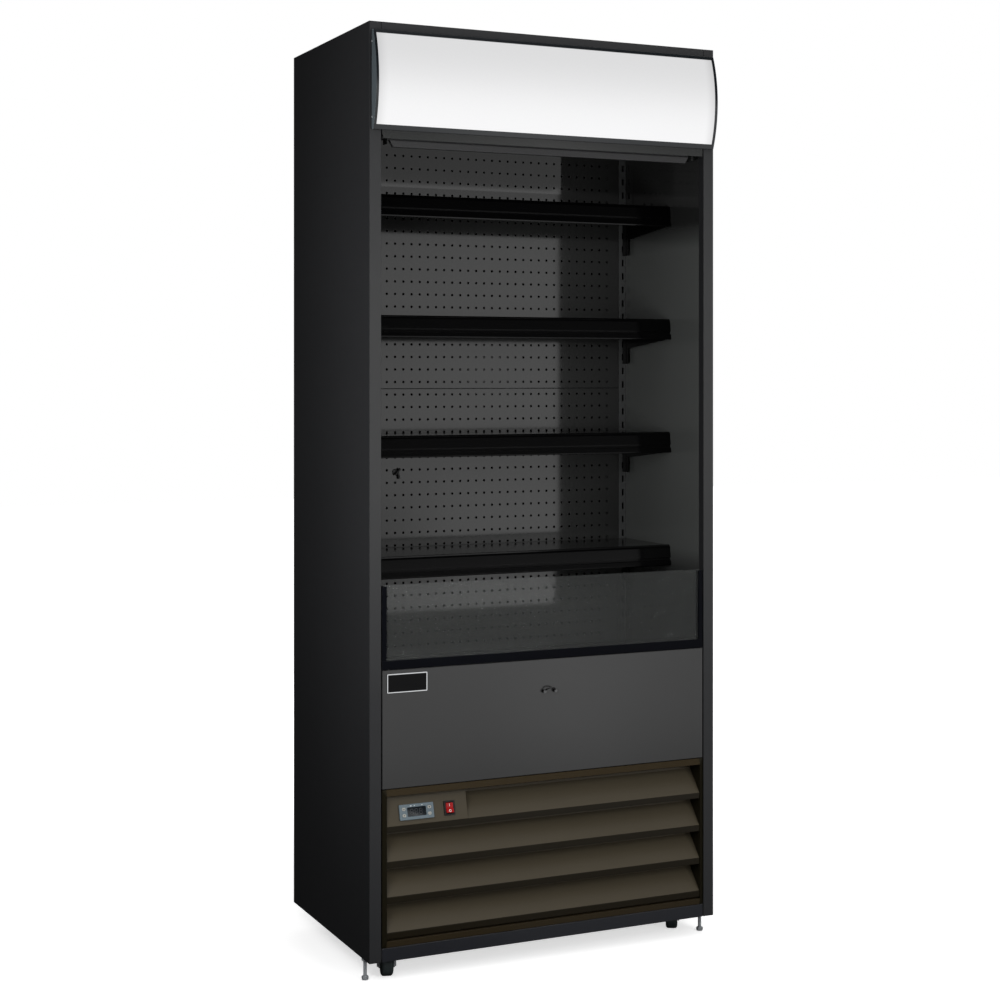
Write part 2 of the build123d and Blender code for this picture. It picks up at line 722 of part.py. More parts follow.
# Side view of the rocker from its pivot: its upper half is pressed in, its lower half stands out
raised = math.radians(rocker_angle)
rocker_section = [
    (rocker_reach - 2, -rocker_depth),
    (rocker_reach, rocker_depth),
    (0, rocker_depth),
    (-rocker_reach * math.cos(raised), rocker_depth + rocker_reach * math.sin(raised)),
    (2 - rocker_reach, -rocker_depth),
]
with BuildPart() as switch_rocker:
    side_view = Plane(
        origin=switch_pivot.from_local_coords(Vector(-rocker_width / 2, 0, 0)),
        x_dir=switch_pivot.y_dir,
        z_dir=(1, 0, 0),
    )
    profile(side_view, rocker_section, rocker_width)
    pin_half = rocker_width / 2 + rocker_pivot_length
    pin_ends = [switch_pivot.from_local_coords(Vector(end, 0, 0)) for end in (-pin_half, pin_half)]
    rod(*pin_ends, rocker_pivot_radius)
switch_rocker.part.label = "switch_rocker"
export_step(switch_rocker.part, "parts/switch_rocker.step")

# ----------------------------------------------------------------------------------------
# Light box
# ----------------------------------------------------------------------------------------
canopy_half = half_width - 5
canopy_edge_depth = 8  # depth of the light box along its upper and lower edges
canopy_middle = (canopy_low + canopy_high) / 2
rail_low_height = 10
rail_high_height = 7
end_cap = 3
end_rim = 3
rim_wall = 1.4
diffuser_sheet = 2


def canopy_arc_depth(z, inset=0.0):
    """How far the curved front of the light box stands out at a height, less an inset."""
    sag = canopy_bulge - canopy_edge_depth
    radius = ((canopy_height / 2) ** 2 + sag**2) / (2 * sag)
    return canopy_bulge - inset - radius + math.sqrt(radius**2 - (z - canopy_middle) ** 2)


def canopy_slice(low, high, outer_inset, inner_inset, start, end):
    """A length of the curved front between two heights. Without an inner inset it reaches the casing."""
    with BuildSketch(Plane.YZ.offset(start)) as outline:
        with BuildLine():
            outer = ThreePointArc(
                (front - canopy_arc_depth(low, outer_inset), low),
                (front - canopy_arc_depth((low + high) / 2, outer_inset), (low + high) / 2),
                (front - canopy_arc_depth(high, outer_inset), high),
            )
            if inner_inset is None:
                Polyline(outer @ 1, (front, high), (front, low), outer @ 0)
            else:
                inner = ThreePointArc(
                    (front - canopy_arc_depth(low, inner_inset), low),
                    (front - canopy_arc_depth((low + high) / 2, inner_inset), (low + high) / 2),
                    (front - canopy_arc_depth(high, inner_inset), high),
                )
                Line(outer @ 1, inner @ 1)
                Line(inner @ 0, outer @ 0)
        make_face()
    extrude(outline.sketch, amount=end - start)


window_low = canopy_low + rail_low_height
window_high = canopy_high - rail_high_height
with BuildPart() as canopy_trim:
    rail_half = canopy_half - end_cap - 0.1
    canopy_slice(canopy_low, window_low, 0, None, -rail_half, rail_half)
    canopy_slice(window_high, canopy_high, 0, None, -rail_half, rail_half)
    for side in (-1, 1):
        cap_x = on_side(side, canopy_half - end_cap, canopy_half)
        canopy_slice(canopy_low, canopy_high, 0, None, *cap_x)
        rim_x = on_side(side, canopy_half - end_cap - end_rim, canopy_half - end_cap)
        canopy_slice(window_low + 0.1, window_high - 0.1, 0, rim_wall, *rim_x)
canopy_trim.part.label = "canopy_trim"
export_step(canopy_trim.part, "parts/canopy_trim.step")

with BuildPart() as canopy_diffuser:
    lens_half = canopy_half - end_cap - 0.2
    lens_inset = rim_wall + 0.2
    lens_z = (window_low + 0.2, window_high - 0.2)
    canopy_slice(*lens_z, lens_inset, lens_inset + diffuser_sheet, -lens_half, lens_half)
canopy_diffuser.part.label = "canopy_diffuser"
export_step(canopy_diffuser.part, "parts/canopy_diffuser.step")

with BuildPart() as canopy_housing:
    tray_half = canopy_half - end_cap - 0.3
    block(both(tray_half), behind(-1.4, -0.1), (window_low + 0.2, window_high - 0.2))
canopy_housing.part.label = "canopy_housing"
export_step(canopy_housing.part, "parts/canopy_housing.step")

lamp_half = canopy_half - 30
lamp_spacing = 88
with BuildPart() as canopy_lamps:
    for lamp_z in (canopy_middle - lamp_spacing / 2, canopy_middle + lamp_spacing / 2):
        block(both(lamp_half), behind(-5, -1.5), (lamp_z - 8, lamp_z + 8))
        with BuildSketch(Plane.YZ.offset(-lamp_half + 4)) as lens:
            with Locations((front - 5, lamp_z)):
                Circle(5)
            with Locations((front - 2, lamp_z)):
                Rectangle(6, 12, mode=Mode.SUBTRACT)
        extrude(lens.sketch, amount=2 * (lamp_half - 4))
canopy_lamps.part.label = "canopy_lamps"
export_step(canopy_lamps.part, "parts/canopy_lamps.step")

# ----------------------------------------------------------------------------------------
# Header and night curtain
# ----------------------------------------------------------------------------------------
curtain_bar_depth = 26
curtain_bar_thickness = 10
curtain_bar_height = 15
curtain_bar_half = 358
curtain_bar_top = header_low + 0.5
roller_depth = 51
roller_z = 1778
roller_radius = 24.4
roller_pin_radius = 4
ear_near = 363
ear_sheet = 2
with BuildPart() as header_panel:
    block(both(infill_half), behind(0, sheet), (header_low, strip_low - seam))
    block(both(infill_half), behind(0, 15), (header_low, header_low + sheet))
    for side in (-1, 1):
        ear_x = on_side(side, ear_near, ear_near + ear_sheet)
        block(ear_x, behind(sheet + foam_gap, 72), (header_low + sheet + foam_gap, roller_z + 26))
        block(ear_x, behind(15.5, 40), (header_low - 9, header_low + 12))
    with Locations(Location((0, front + roller_depth, roller_z), (0, 90, 0))):
        Cylinder(radius=roller_pin_radius + fit, height=overall_width, mode=Mode.SUBTRACT)
    notch_x = (-infill_half - 1, -infill_half + 1.6)
    block(notch_x, behind(-1, 2 * sheet), (header_low - 1, header_low + 7), Mode.SUBTRACT)
header_panel.part.label = "header_panel"
export_step(header_panel.part, "parts/header_panel.step")

with BuildPart() as curtain_roller:
    roll_half = ear_near - 3
    for half, radius in ((roll_half, roller_radius), (ear_near + 6, roller_pin_radius)):
        ends = [(end, front + roller_depth, roller_z) for end in (-half, half)]
        rod(*ends, radius)
curtain_roller.part.label = "curtain_roller"
export_step(curtain_roller.part, "parts/curtain_roller.step")

fabric_thickness = 0.6
fabric_low = curtain_bar_top + 0.2
with BuildPart() as curtain_fabric:
    fabric_y = behind(curtain_bar_depth - fabric_thickness / 2, curtain_bar_depth + fabric_thickness / 2)
    block(both(curtain_bar_half - 8), fabric_y, (fabric_low, roller_z))
curtain_fabric.part.label = "curtain_fabric"
export_step(curtain_fabric.part, "parts/curtain_fabric.step")

with BuildPart() as curtain_bar:
    low = curtain_bar_top - curtain_bar_height
    end_slant = 9
    outline = [
        (-curtain_bar_half, curtain_bar_top),
        (curtain_bar_half, curtain_bar_top),
        (curtain_bar_half - end_slant, low),
        (-curtain_bar_half + end_slant, low),
    ]
    bar_front = Plane.XZ.offset(-(front + curtain_bar_depth - curtain_bar_thickness / 2))
    profile(bar_front, outline, -curtain_bar_thickness)
    fillet(curtain_bar.edges().filter_by(Axis.X), radius=1.2)
curtain_bar.part.label = "curtain_bar"
export_step(curtain_bar.part, "parts/curtain_bar.step")

# ----------------------------------------------------------------------------------------
# Condensing unit in the machine compartment
# ----------------------------------------------------------------------------------------
compressor_x = 195
compressor_y = 70
compressor_radius = 74
compressor_low = floor_top + 16
compressor_height = 165
with BuildPart() as compressor:
    with Locations((compressor_x, compressor_y, compressor_low + compressor_height / 2)):
        Cylinder(radius=compressor_radius, height=compressor_height)
    fillet(compressor.edges().filter_by(GeomType.CIRCLE), radius=34)
    block(
        (compressor_x - 100, compressor_x + 100),
        (compressor_y - 60, compressor_y + 60),
        (compressor_low - 4, compressor_low + 3),
    )
    with Locations((compressor_x, compressor_y, floor_top + 6)):
        with GridLocations(170, 92, 2, 2):
            Cylinder(radius=11, height=12)
    terminal_x = (compressor_x - 95, compressor_x - 60)
    block(terminal_x, (compressor_y - 24, compressor_y + 24), (compressor_low + 60, compressor_low + 115))
compressor.part.label = "compressor"
export_step(compressor.part, "parts/compressor.step")

condenser_x = (-345, -65)
condenser_depth = (72, 126)
condenser_z = (floor_top + 14, floor_top + 264)
condenser_fan_x = (condenser_x[0] + condenser_x[1]) / 2
condenser_fan_z = (condenser_z[0] + condenser_z[1]) / 2
condenser_fan_radius = 98
fin_pitch = 7
with BuildPart() as condenser:
    block(condenser_x, behind(*condenser_depth), condenser_z)
    fin_count = 37
    fin_height = condenser_z[1] - condenser_z[0] - 14
    with BuildSketch(Plane.XZ.offset(-(front + condenser_depth[0]) + 1)) as fin_gaps:
        with Locations((condenser_fan_x, condenser_fan_z)):
            with GridLocations(fin_pitch, 1, fin_count, 1):
                Rectangle(fin_pitch - 2, fin_height)
    extrude(fin_gaps.sketch, amount=-12, mode=Mode.SUBTRACT)
    shroud_y = behind(condenser_depth[1], condenser_depth[1] + 30)
    block(condenser_x, shroud_y, condenser_z)
    with BuildSketch(Plane.XZ.offset(-(front + condenser_depth[1]))) as shroud_hole:
        with Locations((condenser_fan_x, condenser_fan_z)):
            Circle(condenser_fan_radius + 4)
    extrude(shroud_hole.sketch, amount=-60, mode=Mode.SUBTRACT)
    for foot_x in (condenser_x[0] + 10, condenser_x[1] - 34):
        foot_y = behind(condenser_depth[0], condenser_depth[1] + 40)
        block((foot_x, foot_x + 24), foot_y, (floor_top, condenser_z[0]))
condenser.part.label = "condenser"
export_step(condenser.part, "parts/condenser.step")

rotor_pin_radius = 4


def rotor(radius, blades, hub_radius, hub_height, pitch_angle):
    """A fan rotor round the Z axis, with a bore for its motor's shaft."""
    with BuildPart() as wheel:
        Cylinder(radius=hub_radius, height=hub_height)
        blade_length = radius - hub_radius + 4
        with PolarLocations(hub_radius - 4 + blade_length / 2, blades):
            Box(blade_length, radius * 0.62, 2, rotation=(pitch_angle, 0, 0))
        with BuildSketch(Plane.XY.offset(-hub_height)) as sweep_circle:
            Circle(radius)
        extrude(sweep_circle.sketch, amount=2 * hub_height, mode=Mode.INTERSECT)
        Cylinder(radius=rotor_pin_radius + fit, height=4 * hub_height, mode=Mode.SUBTRACT)
    return wheel.part


def motor(y, shaft_front, x, z, radius, length):
    """A fan motor behind its rotor, with the shaft that carries the rotor."""
    rod((x, y, z), (x, y + length, z), radius)
    rod((x, shaft_front, z), (x, y, z), rotor_pin_radius)


condenser_rotor = rotor(condenser_fan_radius, 5, 24, 22, 32)
condenser_fan_y = front + condenser_depth[1] + 20
with BuildPart() as condenser_fan:
    with Locations((condenser_fan_x, condenser_fan_y, condenser_fan_z)):
        add(condenser_rotor, rotation=(90, 0, 0))
condenser_fan.part.label = "condenser_fan"
export_step(condenser_fan.part, "parts/condenser_fan.step")

evaporator_x = (-310, 210)
evaporator_y = (-25, 95)
evaporator_z = (foam_floor_top + 14, foam_floor_top + 144)
evaporator_fan_x = -50
evaporator_fan_z = (evaporator_z[0] + evaporator_z[1]) / 2
evaporator_fan_radius = 58
evaporator_fan_y = -62
with BuildPart() as evaporator:
    block((evaporator_x[0] + 14, evaporator_x[1] - 14), evaporator_y, evaporator_z)
    fins = 64
    with BuildSketch(Plane.XZ.offset(-evaporator_y[0] + 1)) as fin_gaps:
        with Locations(((evaporator_x[0] + evaporator_x[1]) / 2, evaporator_fan_z)):
            with GridLocations(fin_pitch, 1, fins, 1):
                Rectangle(fin_pitch - 2, evaporator_z[1] - evaporator_z[0] - 10)
    extrude(fin_gaps.sketch, amount=-12, mode=Mode.SUBTRACT)
    for end_x in (evaporator_x[0] + 12, evaporator_x[1] - 14):
        plate_y = (evaporator_y[0] - 6, evaporator_y[1] + 6)
        block((end_x, end_x + 2), plate_y, (foam_floor_top + liner, evaporator_z[1] + 6))
    for end_x, outward in ((evaporator_x[0] + 12, -1), (evaporator_x[1] - 12, 1)):
        for row in range(4):
            bend_z = evaporator_z[0] + 18 + row * 31
            for bend_y in (evaporator_y[0] + 22, evaporator_y[0] + 82):
                bend_plane = Plane(origin=(end_x, bend_y, bend_z), x_dir=(0, 1, 0), z_dir=(outward, 0, 0))
                with BuildSketch(bend_plane) as bend_section:
                    Circle(4.5)
                revolve(
                    bend_section.sketch,
                    axis=Axis((end_x, bend_y + 8, bend_z), (0, 0, outward)),
                    revolution_arc=180,
                )
evaporator.part.label = "evaporator"
export_step(evaporator.part, "parts/evaporator.step")

evaporator_rotor = rotor(evaporator_fan_radius, 5, 17, 18, 34)
with BuildPart() as evaporator_fan:
    with Locations((evaporator_fan_x, evaporator_fan_y, evaporator_fan_z)):
        add(evaporator_rotor, rotation=(90, 0, 0))
evaporator_fan.part.label = "evaporator_fan"
export_step(evaporator_fan.part, "parts/evaporator_fan.step")

with BuildPart() as fan_motors:
    motor_y = condenser_fan_y + 20
    motor(motor_y, condenser_fan_y - 7, condenser_fan_x, condenser_fan_z, 32, 58)
    arm_y = (motor_y + 20, motor_y + 24)
    arm_z = (condenser_fan_z - 8, condenser_fan_z + 8)
    block((condenser_x[0], condenser_x[1]), arm_y, arm_z)
    for arm_x in condenser_x:
        inward = 3 if arm_x == condenser_x[0] else -3
        limits = (min(arm_x, arm_x + inward), max(arm_x, arm_x + inward))
        block(limits, (front + condenser_depth[1] + 30 + foam_gap, arm_y[1]), arm_z)
    # Evaporator fan: motor in front of its rotor, on a plate across the air path
    motor_front = evaporator_fan_y - 14
    rod(
        (evaporator_fan_x, motor_front, evaporator_fan_z),
        (evaporator_fan_x, motor_front - 40, evaporator_fan_z),
        24,
    )
    rod(
        (evaporator_fan_x, evaporator_fan_y + 8, evaporator_fan_z),
        (evaporator_fan_x, motor_front, evaporator_fan_z),
        rotor_pin_radius,
    )
    guard_y = (motor_front - 16, motor_front - 13)
    guard_z = (foam_floor_top + liner, deck_level - deck_flange - 6)
    block((evaporator_fan_x - 7, evaporator_fan_x + 7), guard_y, guard_z)
fan_motors.part.label = "fan_motors"
export_step(fan_motors.part, "parts/fan_motors.step")

tray_x = (60, 296)
tray_y = (158, 245)
tray_z = (floor_top + 2, floor_top + 38)
with BuildPart() as condensate_tray:
    block(tray_x, tray_y, tray_z)
    offset(amount=-2, openings=condensate_tray.faces().sort_by(Axis.Z)[-1])
condensate_tray.part.label = "condensate_tray"
export_step(condensate_tray.part, "parts/condensate_tray.step")

box_x = (-20, 100)
box_depth = (64, 122)
box_z = (floor_top + 70, floor_top + 215)
with BuildPart() as electrical_box:
    block(box_x, behind(box_depth[0] + 2.2, box_depth[1]), box_z)
    fillet(electrical_box.edges().filter_by(Axis.Y), radius=4)
    lid_y = behind(box_depth[0], box_depth[0] + 2)
    block((box_x[0] - 2, box_x[1] + 2), lid_y, (box_z[0] - 2, box_z[1] + 2))
    for leg_x in (box_x[0] + 10, box_x[1] - 30):
        block((leg_x, leg_x + 20), behind(box_depth[1] - 20, box_depth[1] - 17), (floor_top, box_z[0]))
    # Mains inlet gland, flush with the service cover
    rod((inlet_x, back - 24, inlet_z), (inlet_x, back - 0.4, inlet_z), inlet_radius)
    rod((inlet_x, back - 26, inlet_z), (inlet_x, back + 1, inlet_z), 4, Mode.SUBTRACT)
electrical_box.part.label = "electrical_box"
export_step(electrical_box.part, "parts/electrical_box.step")

suction_radius = 6
liquid_radius = 3.5
drier_radius = 11
pipe_y = pipe_hole_y
with BuildPart() as refrigerant_pipes:
    coil_y = (evaporator_y[0] + evaporator_y[1]) / 2
    shell_top = compressor_low + compressor_height
    over_condenser = condenser_z[1] + 28
    discharge_pipe = [
        (compressor_x - 26, compressor_y - 26, shell_top + 0.1),
        (compressor_x - 26, compressor_y - 26, over_condenser),
        (condenser_x[1] - 30, compressor_y - 26, over_condenser),
        (condenser_x[1] - 30, front + condenser_depth[0] + 14, over_condenser),
        (condenser_x[1] - 30, front + condenser_depth[0] + 14, condenser_z[1] + 0.1),
    ]
    suction_pipe = [
        (compressor_x + 26, compressor_y + 26, shell_top + 0.1),
        (compressor_x + 26, compressor_y + 26, shell_top + 70),
        (pipe_hole_x, compressor_y + 26, shell_top + 70),
        (pipe_hole_x, pipe_y, shell_top + 70),
        (pipe_hole_x, pipe_y, evaporator_z[0] + 60),
        (pipe_hole_x, coil_y + 20, evaporator_z[0] + 60),
        (evaporator_x[1] - 11, coil_y + 20, evaporator_z[0] + 60),
    ]
    liquid_pipe = [
        (condenser_x[1] + 0.1, front + condenser_depth[0] + 20, condenser_z[0] + 30),
        (compressor_x + 110, front + condenser_depth[0] + 20, condenser_z[0] + 30),
        (compressor_x + 110, pipe_y - 14, condenser_z[0] + 30),
        (compressor_x + 110, pipe_y - 14, evaporator_z[0] + 30),
        (compressor_x + 110, coil_y - 20, evaporator_z[0] + 30),
        (evaporator_x[1] - 11, coil_y - 20, evaporator_z[0] + 30),
    ]
    for route, radius, bend in (
        (discharge_pipe, liquid_radius, 18),
        (suction_pipe, suction_radius, 24),
        (liquid_pipe, liquid_radius, 14),
    ):
        with BuildLine() as run:
            FilletPolyline(*route, radius=bend)
        with BuildSketch(Plane(origin=run.line @ 0, z_dir=run.line % 0)) as section:
            Circle(radius)
        sweep(section.sketch, path=run.line)
    drier_z = condenser_z[0] + 30
    drier_y = front + condenser_depth[0] + 20
    rod((compressor_x - 60, drier_y, drier_z), (compressor_x + 40, drier_y, drier_z), drier_radius)
refrigerant_pipes.part.label = "refrigerant_pipes"
export_step(refrigerant_pipes.part, "parts/refrigerant_pipes.step")

# ----------------------------------------------------------------------------------------
# Casters and levelling bolts
# ----------------------------------------------------------------------------------------
wheel_radius = 25
wheel_width = 26
axle_radius = 4
trail = 20
fork_top = caster_plate_low - 0.5
race_low = fork_top - 6
fork_sheet = 2.5

with BuildPart() as caster_hood:
    # Front view: two cheeks that spread from the axle towards the swivel race
    outer = [(-16.7, 16), (-18.2, 34), (-21, race_low), (21, race_low), (18.2, 34), (16.7, 16)]
    inner = [(-14.2, 0), (-14.2, 20), (-15.6, 34), (-17.6, race_low - fork_sheet)]
    profile(Plane.XZ.offset(-30), outer, 60)
    inner_outline = inner + [(-x, z) for x, z in reversed(inner)]
    profile(Plane.XZ.offset(-60), inner_outline, 180, Mode.SUBTRACT)
    side_view = [
        (-19, race_low),
        (-17, 46),
        (trail - 9, 20),
        (trail, 16),
        (trail + 8, 20),
        (trail + 8, 30),
        (19, race_low),
    ]
    profile(Plane.YZ.offset(-40), side_view, 80, Mode.INTERSECT)

with BuildPart() as caster_axle:
    axle_half = 17.9
    rod((-axle_half, trail, wheel_radius), (axle_half, trail, wheel_radius), axle_radius)
    for side in (-1, 1):
        head = on_side(side, 16.9, 19.9)
        rod((head[0], trail, wheel_radius), (head[1], trail, wheel_radius), 6.2)

with BuildPart() as swivel_race:
    rod((0, 0, race_low), (0, 0, fork_top), 20)
    rod((0, 0, race_low), (0, 0, floor_top + 7), kingpin_radius)
    rod((0, 0, floor_top + clearance), (0, 0, floor_top + 6), kingpin_radius + 4)

with BuildPart() as caster_tyre:
    with BuildSketch(Plane.YZ.offset(-wheel_width / 2)) as disc:
        with Locations((trail, wheel_radius)):
            Circle(wheel_radius)
            Circle(axle_radius + fit, mode=Mode.SUBTRACT)
    extrude(disc.sketch, amount=wheel_width)
    rims = caster_tyre.edges().filter_by(GeomType.CIRCLE).group_by(SortBy.RADIUS)[-1]
    fillet(rims, radius=6.5)
    for side in (-1, 1):
        hollow = on_side(side, wheel_width / 2 - 3, wheel_width / 2 + 1)
        with BuildSketch(Plane.YZ.offset(hollow[0])) as ring:
            with Locations((trail, wheel_radius)):
                Circle(wheel_radius - 7)
                Circle(9, mode=Mode.SUBTRACT)
        extrude(ring.sketch, amount=hollow[1] - hollow[0], mode=Mode.SUBTRACT)

for number, (x, y, swivel) in enumerate(caster_places, start=1):
    with BuildPart() as caster_fork:
        with Locations((x, y, 0)):
            add(caster_hood.part, rotation=(0, 0, swivel))
            add(swivel_race.part, rotation=(0, 0, swivel))
            add(caster_axle.part, rotation=(0, 0, swivel))
    caster_fork.part.label = f"caster_fork_{number}"
    export_step(caster_fork.part, f"parts/caster_fork_{number}.step")
    with BuildPart() as caster_wheel:
        with Locations((x, y, 0)):
            add(caster_tyre.part, rotation=(0, 0, swivel))
    caster_wheel.part.label = f"caster_wheel_{number}"
    export_step(caster_wheel.part, f"parts/caster_wheel_{number}.step")

bolt_low = 1
bolt_head = 6
bolt_flange = 2
bolt_flange_radius = 7
bolt_across_flats = 13
bolt_top = casing_base + 38
for side, name in ((-1, "levelling_bolt_left"), (1, "levelling_bolt_right")):
    with BuildPart() as levelling_bolt:
        x = side * leveller_x
        rod((x, leveller_y, bolt_low), (x, leveller_y, bolt_low + bolt_flange), bolt_flange_radius)
        with BuildSketch(Plane.XY.offset(bolt_low + bolt_flange)) as head:
            with Locations((x, leveller_y)):
                RegularPolygon(bolt_across_flats / 2, 6, major_radius=False, rotation=30)
        extrude(head.sketch, amount=bolt_head)
        rod((x, leveller_y, bolt_low), (x, leveller_y, bolt_top), leveller_radius)
        chamfer(levelling_bolt.faces().sort_by(Axis.Z)[0].edges(), length=0.8)
        chamfer(levelling_bolt.faces().sort_by(Axis.Z)[-1].edges(), length=1)
    levelling_bolt.part.label = name
    export_step(levelling_bolt.part, f"parts/{name}.step")

# ----------------------------------------------------------------------------------------
# Fasteners: the levellers' nuts, the end caps' screws and the rear cover's screws
# ----------------------------------------------------------------------------------------
nut_height = 6.5
cap_screw_z = (canopy_low + 25, canopy_high - 25)
with BuildPart() as fasteners:
    for side in (-1, 1):
        for nut_low in (casing_base - nut_height - 0.1, casing_base + sheet + 0.1):
            with BuildSketch(Plane.XY.offset(nut_low)) as nut:
                with Locations((side * leveller_x, leveller_y)):
                    RegularPolygon(bolt_across_flats / 2, 6, major_radius=False, rotation=30)
                    Circle(leveller_radius + fit, mode=Mode.SUBTRACT)
            extrude(nut.sketch, amount=nut_height)
        for screw_z in cap_screw_z:
            head_x = side * (canopy_half + 1.4)
            rod((side * canopy_half, front - 5, screw_z), (head_x, front - 5, screw_z), 2.2)
    for screw_x, screw_z in rear_screw_places:
        rod((screw_x, back - sheet, screw_z), (screw_x, back - 0.1, screw_z), rear_screw_radius)
fasteners.part.label = "fasteners"
export_step(fasteners.part, "parts/fasteners.step")
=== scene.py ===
"""Looks of an open multideck display fridge: its fine pieces, its finishes, the light and the view."""

import json
import math

import bpy
from mathutils import Matrix, Vector


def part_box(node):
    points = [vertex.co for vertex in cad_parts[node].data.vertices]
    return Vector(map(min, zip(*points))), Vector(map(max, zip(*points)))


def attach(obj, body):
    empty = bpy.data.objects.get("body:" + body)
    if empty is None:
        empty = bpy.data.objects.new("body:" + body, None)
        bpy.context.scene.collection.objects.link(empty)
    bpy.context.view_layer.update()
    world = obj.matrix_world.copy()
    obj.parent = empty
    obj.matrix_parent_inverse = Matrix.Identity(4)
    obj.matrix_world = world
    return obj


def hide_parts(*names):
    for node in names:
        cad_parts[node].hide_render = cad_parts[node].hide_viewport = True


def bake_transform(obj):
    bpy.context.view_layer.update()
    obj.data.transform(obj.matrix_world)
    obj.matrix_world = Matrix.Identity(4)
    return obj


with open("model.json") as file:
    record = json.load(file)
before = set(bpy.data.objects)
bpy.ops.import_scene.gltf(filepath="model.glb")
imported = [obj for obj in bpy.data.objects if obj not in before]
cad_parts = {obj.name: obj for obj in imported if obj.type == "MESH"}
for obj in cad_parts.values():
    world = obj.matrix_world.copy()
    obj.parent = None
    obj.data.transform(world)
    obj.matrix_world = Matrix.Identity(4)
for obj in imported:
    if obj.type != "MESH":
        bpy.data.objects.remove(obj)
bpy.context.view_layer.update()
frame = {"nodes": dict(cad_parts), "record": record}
nodes = frame["nodes"]

# ----------------------------------------------------------------------------------------
# Sizes of the fridge, in metres
# ----------------------------------------------------------------------------------------
front = -0.2315
back = 0.2585
panel_y = 0.1285
canopy_half = 0.405
canopy_low = 1.7575
canopy_high = 1.9625
window_low = 1.7675
window_high = 1.9555
deck_level = 0.615
ceiling_level = 1.800
leveller_x = 0.402
leveller_y = -0.185
casing_base = 0.047
plate_tilt = math.radians(15)
plate_foot = (front + 0.004525, 0.3489)
controller_x = -0.305
switch_x = -0.2305


# ----------------------------------------------------------------------------------------
# Node trees
# ----------------------------------------------------------------------------------------
class NodeMaker:
    """Adds nodes to one tree. Inputs are given by name or number, as values or as sockets."""

    def __init__(self, tree):
        self.tree = tree

    def add(self, kind, inputs=None, **settings):
        node = self.tree.nodes.new(kind)
        for name, value in settings.items():
            setattr(node, name, value)
        for key, value in (inputs or {}).items():
            if isinstance(value, bpy.types.NodeSocket):
                self.tree.links.new(value, node.inputs[key])
            else:
                node.inputs[key].default_value = value
        return node

    def math(self, operation, first, second=0.0, clamp=False):
        node = self.add("ShaderNodeMath", {0: first, 1: second}, operation=operation, use_clamp=clamp)
        return node.outputs[0]

    def plus(self, first, second):
        return self.math("ADD", first, second)

    def minus(self, first, second):
        return self.math("SUBTRACT", first, second)

    def times(self, first, second):
        return self.math("MULTIPLY", first, second)

    def split(self, vector):
        return self.add("ShaderNodeSeparateXYZ", {0: vector}).outputs

    def link(self, value, socket):
        self.tree.links.new(value, socket)

    def remap(self, value, low, high, new_low=0.0, new_high=1.0, kind="LINEAR"):
        inputs = {"Value": value, "From Min": low, "From Max": high, "To Min": new_low, "To Max": new_high}
        return self.add("ShaderNodeMapRange", inputs, interpolation_type=kind).outputs["Result"]

    def blend(self, share, first, second, kind="MIX"):
        node = self.add("ShaderNodeMix", {0: share, 6: first, 7: second}, data_type="RGBA", blend_type=kind)
        return node.outputs[2]

    def noise(self, coordinates, scale, detail=2.0, roughness=0.5):
        inputs = {"Vector": coordinates, "Scale": scale, "Detail": detail, "Roughness": roughness}
        return self.add("ShaderNodeTexNoise", inputs).outputs["Fac"]

    def place(self):
        return self.add("ShaderNodeTexCoord").outputs["Object"]


def emptied_tree(owner):
    """The node maker of a material or a world whose tree has been emptied."""
    owner.use_nodes = True
    owner.node_tree.nodes.clear()
    return NodeMaker(owner.node_tree)


def shader_group(name, inputs, outputs):
    """An empty shader node group with named sockets."""
    tree = bpy.data.node_groups.new(name, "ShaderNodeTree")
    for label, kind, value in inputs:
        socket = tree.interface.new_socket(name=label, in_out="INPUT", socket_type=kind)
        socket.default_value = value
    for label, kind in outputs:
        tree.interface.new_socket(name=label, in_out="OUTPUT", socket_type=kind)
    make = NodeMaker(tree)
    return make, make.add("NodeGroupInput").outputs, make.add("NodeGroupOutput").inputs


def scaled_place(make, stretch):
    """Object coordinates multiplied by a vector, for a pattern that runs longer one way."""
    inputs = {0: make.place(), 1: stretch}
    return make.add("ShaderNodeVectorMath", inputs, operation="MULTIPLY").outputs[0]


FLOAT, VECTOR = "NodeSocketFloat", "NodeSocketVector"

# Sprayed powder: a fine orange-peel height and a slow drift of tone
make, given, result = shader_group(
    "powder coat grain",
    [("Grain Size", FLOAT, 0.0016), ("Drift Size", FLOAT, 0.35)],
    [("Height", FLOAT), ("Tone", FLOAT)],
)
place = make.place()
peel = make.noise(place, make.math("DIVIDE", 1.0, given["Grain Size"]), 2.0, 0.4)
drift = make.noise(place, make.math("DIVIDE", 1.0, given["Drift Size"]), 3.0, 0.55)
speck = make.noise(place, 1400.0, 1.0)
tone = make.plus(make.times(drift, 0.8), make.times(speck, 0.2))
make.link(peel, result["Height"])
make.link(tone, result["Tone"])
powder_grain = make.tree

# Edges that hands and trolleys have rubbed, and the rounded normal that catches light on a bend
make, given, result = shader_group(
    "rubbed edges",
    [("Width", FLOAT, 0.0012), ("Patchiness", FLOAT, 0.5)],
    [("Mask", FLOAT), ("Rounded Normal", VECTOR)],
)
rounded = make.add("ShaderNodeBevel", {"Radius": given["Width"]}, samples=4).outputs["Normal"]
true_normal = make.add("ShaderNodeNewGeometry").outputs["Normal"]
match = make.add("ShaderNodeVectorMath", {0: rounded, 1: true_normal}, operation="DOT_PRODUCT")
edge = make.remap(match.outputs["Value"], 0.98, 0.8)
patches = make.noise(make.place(), 60.0, 4.0, 0.7)
shown = make.remap(patches, make.times(given["Patchiness"], 0.75), 0.75)
make.link(make.times(edge, shown), result["Mask"])
make.link(rounded, result["Rounded Normal"])
rubbed_edges = make.tree

